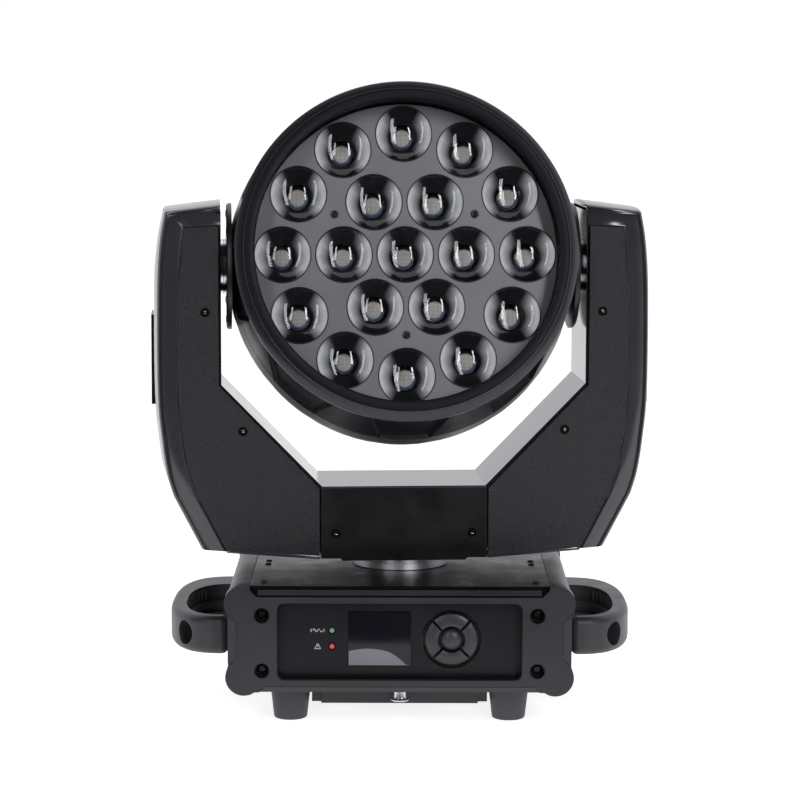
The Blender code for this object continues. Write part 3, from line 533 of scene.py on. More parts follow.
def make_materials():
    black = (0.020, 0.020, 0.023)
    return {
        "paint": coated("satin_paint", black, 0.36, 1700, 0.00003),
        "bezel": coated("bezel_paint", (0.020, 0.019, 0.023), 0.40, 1500, 0.00004),
        "plate": coated("top_plate_paint", (0.005, 0.005, 0.006), 0.30, 1900, 0.00002, ior=1.24),
        # lighter copy of the black paint: painted light on the sloping lips over the bezels
        "lip": coated("lip_paint_painted_light", (0.045, 0.045, 0.047), 0.42, 1700, 0.00002),
        "frame": coated("frame_paint", (0.014, 0.014, 0.017), 0.12, 1900, 0.000004, patchy=0.012, ior=2.1),
        "cover": coated(
            "arm_cover_plastic", (0.044, 0.045, 0.049), 0.15, 1300, 0.00001, patchy=0.015, ior=1.55
        ),
        "edge": coated("bright_edge", (0.11, 0.11, 0.115), 0.30, 1500, 0.00001),
        "shell": coated("moulded_black", (0.008, 0.008, 0.011), 0.30, 1300, 0.00002, patchy=0.02),
        "ring": coated("ring_black", (0.016, 0.016, 0.021), 0.27, 1300, 0.00001, patchy=0.02),
        "panel": coated("panel_film", (0.005, 0.005, 0.007), 0.36, 2200, 0.00001, ior=1.36),
        "bridge": coated("bridge_paint", (0.006, 0.006, 0.007), 0.30, 1700, 0.00003),
        "grain": grained("leather_grain_paint", (0.010, 0.010, 0.012), 0.46, 1000, 0.0003),
        "liner": coated("ring_inside", (0.010, 0.010, 0.013), 0.42, 1300, 0.00002, level=0.12),
        "matte": coated("matte_black", (0.003, 0.003, 0.003), 0.70, 1800, 0.00003, ior=1.2),
        "handle": coated("handle_plastic", (0.034, 0.034, 0.038), 0.44, 1100, 0.00007),
        "rubber": coated("foot_rubber", (0.040, 0.039, 0.047), 0.60, 900, 0.00006),
        "button": coated("button_rubber", (0.032, 0.032, 0.036), 0.36, 1800, 0.00003),
        "lens_plate": coated("lens_plate_paint", (0.200, 0.205, 0.208), 0.36, 1500, 0.00002, 0.10),
        "cup": coated("lens_cup_black", (0.012, 0.012, 0.014), 0.14, 1200, 0.00002),
        "lens": glassy("lens_acrylic", (0.97, 0.98, 1.0)),
        "emitter": emitter_face("emitter_window"),
        "emitter_rim": coated("emitter_rim", (0.10, 0.13, 0.22), 0.25, 1500, 0.00002),
        # lens seat walls: painted light, pale and glowing at their rims
        "wall": lens_wall_painted_light("lens_wall_painted_light"),
        "brass": machined("brass_bush", (0.46, 0.38, 0.26), 0.34, (300, 300, 300)),
        "screen": coated("screen_glass", (0.008, 0.008, 0.012), 0.06, 700, 0.000002, patchy=0.01, ior=1.4),
        # pale grey of the patch on the display: a painted reflection
        "painted_screen_reflection": coated("screen_reflection_paint", (0.212, 0.212, 0.240), 0.40, 900, 0.00001),
        "print": coated("white_print", (0.80, 0.80, 0.82), 0.5, 2500, 0.00001),
        "green": lit("green_led", (0.19, 0.32, 0.26), 0.05),
        "red": lit("red_led", (0.66, 0.10, 0.10), 0.14),
        # near-black for dark parts, and painted shade where it lines holes, recesses and gaps
        "well": coated("dark_parts_and_painted_shade", (0.004, 0.004, 0.005), 0.35, 1800, 0.00003),
        "screw": coated("black_screw", (0.012, 0.012, 0.014), 0.24, 2600, 0.00003, metallic=0.6),
        "zinc": coated("dark_zinc_screw", (0.07, 0.07, 0.075), 0.34, 2600, 0.00003, metallic=0.5),
        "column": machined("turned_column", (0.88, 0.88, 0.90), 0.38, (6, 6, 900)),
        "steel": machined("turned_steel", (0.74, 0.74, 0.76), 0.18, (900, 900, 6)),
        "aluminium": machined("machined_aluminium", (0.62, 0.63, 0.65), 0.34, (40, 40, 700)),
        "board": coated("circuit_board", (0.018, 0.110, 0.055), 0.35, 500, 0.00006, 0.35),
        "belt": grained("belt_rubber", (0.014, 0.014, 0.014), 0.6, 1200, 0.0001),
        "motor": coated("motor_paint", (0.020, 0.020, 0.022), 0.34, 1300, 0.00003),
        "contact": machined("gold_contact", (0.80, 0.62, 0.30), 0.22, (300, 300, 300)),
    }


LOOKS = make_materials()


# ---------------------------------------------------------------- adding pieces
def add(name, obj, body, look, slot, *nodes, place=None, bevel=0.0, sharp=32):
    """Names the piece, puts it in its frame, gives it its look and hangs it on its body."""
    if bevel:
        softened(obj, bevel)
    obj.name = name
    obj.data.name = name
    obj.data.materials.clear()
    obj.data.materials.append(LOOKS[look])
    obj.data.transform(PLACES[place or body])
    obj.data.shade_smooth()
    obj.data.set_sharp_from_angle(angle=radians(sharp))
    if bevel:
        flat_faces_first(obj)
    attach(obj, body)
    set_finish(obj, slot)
    if nodes:
        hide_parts(*nodes)
    return obj


def repeat(obj, name, offset, body):
    """Another piece that shares a piece's mesh, moved within the same frame."""
    copy = bpy.data.objects.new(name, obj.data)
    bpy.context.scene.collection.objects.link(copy)
    place = PLACES[body]
    copy.matrix_world = place @ offset @ place.inverted()
    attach(copy, body)
    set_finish(copy, obj["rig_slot"])
    return copy


def refine(node, body, look, slot, bevel, place=None):
    """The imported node's own shape with its edges rounded."""
    add(f"{node}_skin", flat_copy(node, place or body), body, look, slot, node, place=place, bevel=bevel)


def repaint(node, look):
    """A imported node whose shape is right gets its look."""
    data = frame["nodes"][node].data
    data.materials.clear()
    data.materials.append(LOOKS[look])


# ---------------------------------------------------------------- fasteners
def screw_head(radius, height, side, turns):
    """A head along -Y, its seat at y = 0, domed over a straight side that takes a share of its height."""
    profile = [(0, 0.0010), (radius, 0.0010), (radius, -height * side)]
    for t in turns:
        profile.append((radius * cos(radians(t)), -height * (side + (1 - side) * sin(radians(t)))))
    return turned(profile + [(0, -height)], "Y", segments=32)


def socket_screw(radius, height, socket_r):
    """A button head with a hexagonal socket."""
    head = screw_head(radius, height, 0.35, (25, 50, 72))
    return cut(head, rod(socket_r, -height - 0.001, -height * 0.45, "Y", segments=6))


def cross_screw(radius, height):
    """A pan head with a cross recess."""
    head = screw_head(radius, height, 0.4, (30, 60))
    arm, width = radius * 0.62, radius * 0.15
    slots = [
        box((-arm, -height - 0.001, -width), (arm, -height * 0.4, width)),
        box((-width, -height - 0.001, -arm), (width, -height * 0.4, arm)),
    ]
    return cut(head, *slots)


def place_screws(name, head, places, body, look="screw", slot="satin_black"):
    """Copies of one screw head at each matrix, in the body's frame."""
    first = add(f"{name}_1", moved(head, places[0]), body, look, slot)
    for i, place in enumerate(places[1:]):
        repeat(first, f"{name}_{i + 2}", place @ places[0].inverted(), body)


def at(x, y, z):
    return Matrix.Translation((x, y, z))


def facing(x, y, z, direction):
    """Where a head made along -Y goes so that it faces the direction."""
    turn = Vector(direction).to_track_quat("-Y", "Z").to_matrix().to_4x4()
    return Matrix.Translation((x, y, z)) @ turn


# ---------------------------------------------------------------- base
def bezel_outline():
    """The bezel's outline with its four round ears, as (x, z)."""
    right = [(0, 0.1028), (0.1093, 0.1028), (0.1146, 0.1081)]
    right += arc(UPPER_EAR, EAR_R, 112, -32, 22)
    right += [(SIDE_X, 0.0862), (SIDE_X, 0.0516)]
    right += arc(LOWER_EAR, EAR_R, 32, -112, 22)
    right += [(0.1110, FLOOR_Z), (0, FLOOR_Z)]
    return right + [(-x, z) for x, z in reversed(right) if x]


def edge_wedges():
    """Cutters for the chamfers on the bezel's sides and lower edge, which run out at 45 degrees."""
    front, out, side, low = -BEZEL_FRONT, 0.002, 0.0068, 0.0046
    wedges = []
    for sign in (-1, 1):
        inner, outer = sign * (SIDE_X - side), sign * (SIDE_X + out)
        points = [(inner, front - 0.0002, z) for z in (0.0555, 0.0825)]
        points += [(outer, y, z) for y in (front - out, front + 0.0042) for z in (0.0475, 0.0905)]
        wedges.append(hull(points))
    points = [(x, front - 0.0002, FLOOR_Z + low) for x in (-0.1030, 0.1030)]
    points += [(x, y, FLOOR_Z - out) for y in (front - out, front + 0.0034) for x in (-0.1095, 0.1095)]
    return wedges + [hull(points)]


def edge_grooves():
    """Fine grooves along the inner edges of those chamfers."""
    front, radius, side, low = -BEZEL_FRONT, 0.00032, 0.0068, 0.0046
    grooves = []
    for sign in (-1, 1):
        inner, outer = sign * (SIDE_X - side), sign * (SIDE_X + 0.0005)
        path = [(outer, 0.0905), (inner, 0.0825), (inner, 0.0555), (outer, 0.0475)]
        grooves.append(tube([(x, front, z) for x, z in path], radius, 6))
    path = [(-0.1095, FLOOR_Z - 0.0005), (-0.1030, FLOOR_Z + low)]
    path += [(-x, z) for x, z in reversed(path)]
    return grooves + [tube([(x, front, z) for x, z in path], radius, 6)]


def make_bezel(name, node, turn):
    """A bezel facing -Y, with its panel's window and sunk screw wells. The rear one is turned round."""
    bezel = prism(bezel_outline(), -BEZEL_FRONT, -BEZEL_BACK, "Y")
    window = prism(rounded_box(WINDOW_X, WINDOW_Z, WINDOW_R), -FAR, 0, "Y")
    wells = [rod(0.0062, -FAR, -BEZEL_FRONT + 0.0100, "Y", (x, 0, z)) for x, z in BEZEL_SCREWS]
    cut(bezel, window, *wells, *edge_wedges())
    cut(bezel, *edge_grooves())
    moved(bezel, turn)
    add(name, bezel, "base", "bezel", "satin_black", node, bevel=0.0009)
    # The window's walls and the screw holes are lined with near-black: painted shade in the recesses.
    liner = prism(rounded_box(inset(WINDOW_X, -0.0001), WINDOW_Z, WINDOW_R), -0.1148, -0.1046, "Y")
    inside = rounded_box(inset(WINDOW_X, 0.0006), inset(WINDOW_Z, 0.0006), 0.005)
    cut(liner, prism(inside, -FAR, 0, "Y"))
    add(f"{name}_liner", moved(liner, turn), "base", "well", "satin_black")
    head = socket_screw(0.0044, 0.0030, 0.0023)
    places = [turn @ at(x, -BEZEL_FRONT + 0.0096, z) for x, z in BEZEL_SCREWS]
    sleeve = [(0.0056, 0.0004), (0.0063, 0.0004), (0.0063, 0.0100), (0.0056, 0.0100)]
    profile = [(radius, along - BEZEL_FRONT) for radius, along in sleeve]
    sleeves = [turned(profile, "Y", (x, 0, z), 40) for x, z in BEZEL_SCREWS]
    add(f"{name}_wells", moved(merged(sleeves), turn), "base", "well", "satin_black")
    place_screws(f"{name}_screw", head, places, "base")


def make_housing():
    refine("base_chassis", "base", "paint", "satin_black", 0.0003)
    for side in ("left", "right"):
        refine(f"base_side_{side}", "base", "bezel", "satin_black", 0.0006)
    refine("base_top_plate", "base", "plate", "satin_black", 0.0005)
    refine("clamp_plate", "base", "bezel", "satin_black", 0.0006)
    # Thin strips of lighter paint over the slope between bezel and top plate, front and rear: painted light.
    lip = [(-0.1098, 0.1076), (-0.1144, 0.1044), (-0.1140, 0.1038), (-0.1094, 0.1070)]
    strips = [prism(lip, -TOP_LIP_X, TOP_LIP_X, "X") for _ in range(2)]
    moved(strips[1], Matrix.Rotation(pi, 4, "Z"))
    add("top_lips", merged(strips), "base", "lip", "satin_black", bevel=0.0002)
    places = []
    for x in (-TOP_SCREW_X, TOP_SCREW_X):
        places += [facing(x, y, TOP_Z, (0, 0, 1)) for y in TOP_SCREWS_Y]
    place_screws("top_plate_screw", cross_screw(0.0026, 0.0011), places, "base", "zinc")
    make_clamp_locks()


def make_clamp_locks():
    """A ring round each of the four quarter-turn sockets under the base."""
    rings = []
    profile = [(0.0050, 0.0160), (0.0076, 0.0160), (0.0076, 0.0132), (0.0070, 0.0128), (0.0050, 0.0136)]
    for x in (-LOCK[0], LOCK[0]):
        for y in (-LOCK[1], LOCK[1]):
            rings.append(turned(profile, "Z", (x, y, 0), 40))
    add("clamp_locks", merged(rings), "base", "steel", "polished_metal")


def make_foot(node, x, y):
    profile = [(0, 0.0010), (0.0060, 0.0008), (0.0062, 0.0), (0.0112, 0.0), (0.0124, 0.0005)]
    profile += [(0.0130, 0.0018), (0.0160, 0.0280), (0.0156, 0.0285), (0, 0.0285)]
    add(f"{node}_skin", turned(profile, "Z", (x, y, 0)), "base", "rubber", "foot_rubber", node)


def make_stud():
    """The flanged safety stud, its rim rounded."""
    profile = [(0, 0.0166), (0.0058, 0.0166), (0.0070, 0.0171), (0.0072, 0.0178), (0.0066, 0.0186)]
    profile += [(0.0060, 0.0190), (0.0058, 0.0200), (0.0054, 0.0284), (0, 0.0284)]
    stud = turned(profile, "Z", (*STUD, 0), 72)
    add("safety_stud_skin", stud, "base", "steel", "polished_metal", "safety_stud")


def make_panel():
    """The recessed control panel with its printed signs, raised pad rim and LED wells."""
    panel = prism(rounded_box((-0.0936, 0.0936), (0.0386, 0.0978), 0.0050), PANEL_Y, PANEL_Y + 0.002, "Y")
    wells = [rod(0.0031, -FAR, PANEL_Y + 0.0012, "Y", (LED_X, 0, z), 40) for z in LED_Z.values()]
    hole = rod(PAD_R, -FAR, 0, "Y", (PAD[0], 0, PAD[1]), 96)
    screen = prism(rounded_box(DISPLAY_X, DISPLAY_Z, 0.0008), -FAR, 0, "Y")
    cut(panel, hole, screen, *wells)
    add("control_panel_skin", panel, "base", "panel", "satin_black", "control_panel", bevel=0.0002)
    rim = [(-0.0001, 0.0006), (-0.0001, -0.0003), (0.0002, -0.0005), (0.0006, -0.0002), (0.0006, 0.0006)]
    ring = turned([(PAD_R + out, along) for out, along in rim], "Y", (PAD[0], PANEL_Y, PAD[1]), 128)
    add("pad_rim", ring, "base", "screen", "screen_glass")
    well = rod(PAD_R - 0.0002, PANEL_Y + 0.0045, PANEL_Y + 0.0049, "Y", (PAD[0], 0, PAD[1]), 96)
    add("pad_floor", well, "base", "well", "satin_black")


def make_signs():
    """Generic signs in place of words: a wave between two arrows, and a warning triangle."""
    front, thick = PANEL_Y - 0.00005, 0.0002
    x, z = LED_X - 0.0110, LED_Z["signal"]
    wave = [(x - 0.0036 + 0.0072 * i / 24, front, z + 0.0011 * sin(4 * pi * i / 24)) for i in range(25)]
    strokes = [tube(wave, thick, 6)]
    for sign in (-1, 1):
        tip = (x + sign * 0.0056, front, z)
        ends = [(x + sign * 0.0044, front, z + rise) for rise in (0.0012, -0.0012)]
        strokes.append(tube([ends[0], tip, ends[1]], thick, 6))
    add("signal_sign", merged(strokes), "base", "print", "satin_black")
    z = LED_Z["error"]
    corners = arc((x, z - 0.0004), 0.0027, 90, 330, 2)
    loops = [tube([(a, front, b) for a, b in (corners[i], corners[(i + 1) % 3])], thick, 6) for i in range(3)]
    loops.append(tube([(x, front, z + 0.0010), (x, front, z - 0.0005)], thick, 6))
    loops.append(rod(0.00022, front - 0.0001, front + 0.0001, "Y", (x, 0, z - 0.0012), 12))
    add("fault_sign", merged(loops), "base", "print", "satin_black")


def make_display():
    """The screen's glass, and a pale hill-shaped patch on its face: a painted reflection of the pale floor in
    front.
    """
    outline = rounded_box(inset(DISPLAY_X, 0.0002), inset(DISPLAY_Z, 0.0002), 0.0008)
    glass = prism(outline, PANEL_Y - 0.0001, PANEL_Y + 0.003, "Y")
    add("display_glass", glass, "base", "screen", "screen_glass", "display_screen", bevel=0.00025)
    left, right = inset(DISPLAY_X, 0.0007)
    foot = DISPLAY_Z[0] + 0.0007
    hill = [(left, foot)]
    for i in range(25):
        share = i / 24
        rise = 0.0136 - 0.0210 * (share - 0.36) ** 2 - 0.0290 * max(share - 0.62, 0) ** 1.6
        hill.append((left + (right - left) * share, foot + max(rise - 0.0020 * share, 0.0001)))
    hill.append((right, foot))
    # the pale patch is a painted reflection of the floor, laid just in front of the glass
    reflection_patch = prism(hill, PANEL_Y - 0.00032, PANEL_Y - 0.00015, "Y")
    add("display_painted_reflection", reflection_patch, "base", "painted_screen_reflection", "screen_glass")


def make_status_light(name, node, z, look, slot):
    """A small domed light in its dark well."""
    dome = [(0, 0.0010), (0.0020, 0.0010), (0.0020, 0.0002), (0.0018, -0.0005), (0.0012, -0.0010)]
    dome.append((0, -0.0012))
    add(name, turned(dome, "Y", (LED_X, PANEL_Y, z), 32), "base", look, slot, node)
    ring = [(0.0022, 0.0012), (0.0031, 0.0012), (0.0031, -0.0001), (0.0029, -0.0003), (0.0022, 0.0006)]
    add(f"{name}_well", turned(ring, "Y", (LED_X, PANEL_Y, z), 40), "base", "well", "satin_black")


def make_arrow_button(node, middle):
    """A quarter of a raised ring with a rounded back, its ends square to the slots between the buttons."""
    inner, outer, slot = 0.0100, 0.0203, 0.0009
    section = [(0, 0.0029), (0, -0.0016), (0.04, -0.0023), (0.14, -0.0029), (0.34, -0.0030), (0.6, -0.0027)]
    section += [(0.84, -0.0022), (0.96, -0.0016), (1, -0.0009), (1, 0.0029)]
    sections = []
    for i in range(21):
        loop = []
        for share, along in section:
            radius = inner + (outer - inner) * share
            half = 45 - slot / radius * 180 / pi
            turn = radians(middle - half + 2 * half * i / 20)
            loop.append((PAD[0] + radius * cos(turn), PANEL_Y + along, PAD[1] + radius * sin(turn)))
        sections.append(loop)
    add(f"{node}_skin", loft(sections), node, "button", "button_rubber", node, place="base", bevel=0.0005)


def make_enter_button():
    profile = [(0, 0.0029), (0.0080, 0.0029), (0.0080, -0.0014), (0.0077, -0.0023), (0.0070, -0.0031)]
    profile += [(0.0058, -0.0039), (0.0042, -0.0045), (0.0022, -0.0048), (0, -0.0049)]
    button = turned(profile, "Y", (PAD[0], PANEL_Y, PAD[1]), 72)
    add("button_enter_skin", button, "button_enter", "button", "button_rubber", "button_enter", place="base")


def super_half(start_x, middle_y, reach, half, power, steps):
    """Half of a superellipse that bulges from the base's side, as (x, y)."""
    points = []
    for i in range(steps + 1):
        t = -pi / 2 + pi * i / steps
        x = start_x + reach * abs(cos(t)) ** (2 / power)
        points.append((x, middle_y + half * (1 if t > 0 else -1) * abs(sin(t)) ** (2 / power)))
    return points


def make_handle(side):
    """A carrying handle: a soft-edged loop with a stepped finger gap and a round eye through its corner."""
    outer = super_half(HANDLE_X, 0, HANDLE_REACH, HANDLE_HALF, 2.8, 64)
    handle = softened(prism(outer, *HANDLE_Z, "Z"), 0.0058, 5, 50)
    steps = [(0.0700, 0.1000, 0.0333, 0.0655), (0.0610, 0.0705, 0.0300, 0.0618)]
    steps.append((0.0400, 0.0615, 0.0265, 0.0580))
    cutters = []
    for low, high, reach, half in steps:
        outline = super_half(GAP_X, GAP_MIDDLE_Y, reach, half, GAP_POWER, 48)
        cutters.append(prism(outline, low, high, "Z"))
    corner = Vector((HANDLE_X + 0.0315, -0.0745, 0.0678))
    along = Vector((cos(radians(-36)), sin(radians(-36)), 0)).to_track_quat("Z", "Y").to_matrix().to_4x4()
    cutters.append(moved(rod(0.0094, -0.023, 0.023, "Z"), Matrix.Translation(corner) @ along))
    cut(handle, *cutters)
    sided(handle, side)
    node = f"handle_{side}"
    add(f"{node}_skin", handle, "base", "handle", "handle_black", node, bevel=0.0009, sharp=40)
    make_handle_ribs(side)


def make_handle_ribs(side):
    """Upright ribs round the wall of the finger gap."""
    spots = super_half(GAP_X, GAP_MIDDLE_Y, 0.0331, 0.0652, GAP_POWER, 24)[5:20]
    grid = merged([rod(0.0011, 0.0705, 0.0795, "Z", (x, y, 0), 12) for x, y in spots])
    sided(grid, side)
    add(f"handle_ribs_{side}", grid, "base", "handle", "handle_black")


# ---------------------------------------------------------------- rear of the base
def make_connector(node, x, socket_r, pins):
    """A round panel connector: flange, sunk socket and its contacts."""
    face = -PANEL_Y
    profile = [(0, 0.0890), (0.0118, 0.0890), (0.0118, face + 0.0003), (0.0132, face + 0.0003)]
    profile += [(0.0132, 0.1066), (0.0125, 0.1075), (socket_r + 0.0008, 0.1075), (socket_r, 0.1068)]
    profile += [(socket_r, 0.0960), (0, 0.0960)]
    add(f"{node}_skin", turned(profile, "Y", (x, 0, SOCKET_Z)), "base", "motor", "connector_black", node)
    pin = [(0, 0.0958), (0.0009, 0.0958), (0.0009, 0.1030), (0.0005, 0.1040), (0, 0.1042)]
    spots = arc((x, SOCKET_Z), 0.0050, 90, 450, pins)[:-1]
    rods = [turned(pin, "Y", (a, 0, b), 16) for a, b in spots]
    add(f"{node}_contacts", merged(rods), "base", "contact", "polished_metal")


def make_rear_panel():
    refine("connector_panel", "base", "panel", "satin_black", 0.0003)
    face, corner, half = -PANEL_Y, 0.0125, 0.0155
    places = []
    for x, _ in SOCKETS.values():
        for out in (-corner, corner):
            places.append(facing(x + out, face + 0.0001, SOCKET_Z - out, (0, 1, 0)))
    place_screws("connector_screw", cross_screw(0.0022, 0.0011), places, "base")
    flanges = []
    for x, _ in SOCKETS.values():
        outline = rounded_box(span(x, half), span(SOCKET_Z, half), 0.003)
        flange = prism(outline, face, face + 0.0002, "Y")
        flanges.append(cut(flange, rod(0.0133, 0, FAR, "Y", (x, 0, SOCKET_Z))))
    add("connector_flanges", merged(flanges), "base", "motor", "connector_black")
    for pins, (node, (x, socket_r)) in zip((3, 5, 5), SOCKETS.items()):
        make_connector(node, x, socket_r, pins)


# ---------------------------------------------------------------- yoke
def smooth_run(points, steps):
    """A Catmull-Rom run through the points, for pairs of outer and inner points at once."""
    run = []
    for i in range(len(points) - 1):
        before, here = points[max(i - 1, 0)], points[i]
        there, after = points[i + 1], points[min(i + 2, len(points) - 1)]
        for k in range(steps):
            t = k / steps
            weights = (-t + 2 * t**2 - t**3, 2 - 5 * t**2 + 3 * t**3, t + 4 * t**2 - 3 * t**3, t**3 - t**2)
            rows = zip(before, here, there, after)
            run.append(tuple(sum(w * v for w, v in zip(weights, row)) / 2 for row in rows))
    return run + [points[-1]]


def arm_stations():
    """Along the right arm's cover: (outer x, outer z, inner x, inner z) of its sloping rim."""
    top = [(0.1428, 0.3985, 0.1428, 0.3828), (0.1845, 0.3934, 0.1706, 0.3813)]
    side = [
        (0.1860, 0.3922, 0.1712, 0.3807), (0.1900, 0.3680, 0.1737, 0.3600), (0.1922, 0.3280, 0.1764, 0.3250),
        (0.1922, 0.2520, 0.1774, 0.2627), (0.1892, 0.2150, 0.1744, 0.2236), (0.1852, 0.1880, 0.1695, 0.1930),
        (0.1802, 0.1708, 0.1612, 0.1700),
    ]
    low = [(0.1796, 0.1696, 0.1604, 0.1682), (0.1586, 0.1292, 0.1415, 0.1312)]
    toe = [(0.1572, 0.1283, 0.1399, 0.1282), (0.1390, 0.1269, 0.1385, 0.1281)]
    return top + smooth_run(side, 5) + low + toe


def arm_section(outer, inner, bulge):
    """The cover's section across the arm: sloping rims front and rear, joined by a bulging outer wall."""
    start, reach = Vector(outer), Vector(inner) - Vector(outer)
    width = max(reach.length, 1e-6)
    wall = min(SHELL_WALL, width * 0.6) / width
    half = [
        (1.06, 0.0430), (1.06, 0.0449), (1.0, 0.0450), (1.0, 0.0470), (0.95, ARM_Y), (0.90, 0.0479),
        (0.330, 0.0434), (0.310, 0.0417), (0.185, 0.0407), (0.165, 0.0421), (0.085, 0.0414), (0.035, 0.0402),
        (0.008, 0.0388), (0.0, 0.0372),
    ]
    curve = [(-0.04 * bulge, 0.0340), (-0.12 * bulge, 0.0260), (-0.17 * bulge, 0.0140)]
    inside = [(wall, 0.0365), (0.30, 0.0388), (0.65, 0.0422)]
    loop = [(share, -along) for share, along in half + curve] + [(-0.18 * bulge, 0)]
    loop += list(reversed(half + curve)) + list(reversed(inside))
    loop += [(share, -along) for share, along in inside]
    return [(start.x + reach.x * s, along, start.y + reach.y * s) for s, along in loop]


def make_arm_cover(side):
    """The arm's outer cover with a sloping, grooved rim round its textured panels, and its floor strip."""
    stations = [((a, b), (c, d)) for a, b, c, d in arm_stations()]
    sections = []
    for outer, inner in stations:
        bulge = ease(outer[1], 0.1700, 0.2000) * (1 - 0.4 * ease(outer[1], 0.3400, 0.3900))
        sections.append(arm_section(outer, inner, bulge))
    cover = loft(sections)
    floor = [(0.0658, 0.1212), (0.1388, 0.1268), (0.1388, 0.1276), (0.1368, 0.1290), (0.0658, 0.1238)]
    strip = prism(floor, -0.0478, 0.0478, "Y")
    rounded = [softened(cover, 0.0003, 2, 50), softened(strip, 0.0004)]
    shell = merged(rounded)
    sided(shell, side)
    add(f"arm_cover_{side}", shell, "yoke", "cover", "cover_black", f"arm_shell_{side}", sharp=26)
    make_edge_lines(side, stations[1:-3])


def make_edge_lines(side, stations):
    """Fine bright lines where light catches the edges of the cover's rim."""
    beads = []
    for share, along in ((0.10, 0.0415), (0.322, 0.0428), (1.0, 0.0471)):
        run = [(a + (c - a) * share, b + (d - b) * share) for (a, b), (c, d) in stations]
        beads += [tube([(x, sign * along, z) for x, z in run], 0.00022, 6) for sign in (-1, 1)]
    lines = merged(beads)
    sided(lines, side)
    add(f"arm_edge_lines_{side}", lines, "yoke", "edge", "cover_black")


def make_yoke():
    refine("yoke_frame", "yoke", "frame", "satin_black", 0.0005)
    for side in ("left", "right"):
        make_arm_cover(side)
        refine(f"arm_front_panel_{side}", "yoke", "grain", "grain_black", 0.0004)
        refine(f"arm_rear_panel_{side}", "yoke", "grain", "grain_black", 0.0004)
        refine(f"side_vent_{side}", "yoke", "shell", "cover_black", 0.0006)
    refine("bridge_front_panel", "yoke", "bridge", "grain_black", 0.0004)
    refine("bridge_rear_panel", "yoke", "bridge", "grain_black", 0.0004)
    # Near-black strips filling the gaps beside the bridge: painted shade between the parts.
    strips = []
    for middle in (-SEAM_X, SEAM_X):
        low, high = span(middle, 0.0012)
        strips.append(box((low, -0.0440, 0.1240), (high, 0.0440, 0.1760)))
    add("bridge_seams", merged(strips), "yoke", "well", "satin_black")
    places = []
    for x, z, y in YOKE_SCREWS:
        for sign in (-1, 1):
            places.append(facing(sign * x, -y, z, (0, -1, 0)))
            places.append(facing(sign * x, y, z, (0, 1, 0)))
    washer = [(0.0023, 0.0010), (0.0037, 0.0010), (0.0037, -0.0002), (0.0035, -0.0005), (0.0023, -0.0004)]
    place_screws("yoke_washer", turned(washer, "Y", segments=40), places, "yoke", "matte")
    place_screws("yoke_screw", socket_screw(0.0024, 0.0006, 0.0012), places, "yoke", "matte")
    socket = [(0.0008, 0.0002), (0.0014, 0.0002), (0.0014, -0.0005), (0.0008, -0.0002)]
    place_screws("yoke_socket", turned(socket, "Y", segments=6), places, "yoke", "steel", "polished_metal")


def make_column():
    """The bright turned column that carries the yoke, and a thin dark ring round its foot."""
    profile = [(0.0130, 0.0700), (0.0290, 0.0700), (0.0290, 0.1060), (COLUMN_R, 0.1060), (COLUMN_R, 0.1150)]
    profile += [(COLUMN_R - 0.0003, 0.1153), (COLUMN_R - 0.0003, 0.1158), (COLUMN_R, 0.1161)]
    column = turned(profile + [(COLUMN_R, COLUMN_TOP), (0.0130, COLUMN_TOP)], "Z", segments=128)
    pulley = [(0.0300, 0.0682), (0.0480, 0.0682), (0.0480, 0.0694), (0.0460, 0.0694), (0.0460, 0.0786)]
    pulley += [(0.0480, 0.0786), (0.0480, 0.0800), (0.0300, 0.0800)]
    both = merged([column, turned(pulley, "Z", segments=96)])
    add("pan_column", both, "yoke", "column", "polished_metal", "pan_shaft", sharp=25)
    ring = [(0.0001, -0.0018), (0.0009, -0.0018), (0.0009, 0.0002), (0.0005, 0.0005), (0.0001, 0.0002)]
    seal = turned([(COLUMN_R + out, TOP_Z + up) for out, up in ring], "Z", segments=128)
    add("column_seal", seal, "base", "well", "satin_black")


# ---------------------------------------------------------------- head
def lens_centres():
    """The centre lens, six round it and twelve round those, as (x, z)."""
    centres = [(0.0, 0.0)]
    for count, radius in ((6, LENS_PITCH), (12, 2 * LENS_PITCH)):
        centres += arc((0, 0), radius, 0, 360, count)[:-1]
    return centres


def make_ring():
    """The front ring: a rounded lip over a deep inner wall, and a stepped, sloping flange outside."""
    profile = [(0.1198, -0.0425), (0.1196, -0.0700), (0.1188, -0.0730), (LIP_R, -0.0760), (LIP_R, -0.0783)]
    profile += [(LIP_R + 0.0006, -0.0794), (LIP_R + 0.0018, RING_FRONT), (0.1240, RING_FRONT)]
    profile += [(0.1248, -0.0799), (0.1253, -0.0794), (0.1256, -0.0788), (0.1262, -0.0785)]
    profile += [(0.1314, -0.0746), (RING_R, -0.0737), (RING_R, -0.0690), (0.1316, -0.0681)]
    profile += [(0.1285, -0.0676), (0.1280, -0.0425)]
    ring = turned(profile, "Y", segments=192)
    add("front_ring_skin", ring, "head", "ring", "cover_black", "front_ring", sharp=38)
    liner = [(0.1197, -0.0545), (0.1195, -0.0700), (0.1187, -0.0730), (0.1170, -0.0759), (0.1170, -0.0784)]
    liner += [(0.1177, -0.0797), (0.1189, -0.0802), (0.1238, -0.0802), (0.1249, -0.0800), (0.1254, -0.0795)]
    liner += [(0.1250, -0.0789), (0.1190, -0.0789), (0.1180, -0.0778), (0.1180, -0.0762), (0.1192, -0.0732)]
    liner += [(0.1200, -0.0702), (0.1200, -0.0545)]
    add("front_ring_inside", turned(liner, "Y", segments=192), "head", "liner", "cover_black", sharp=38)


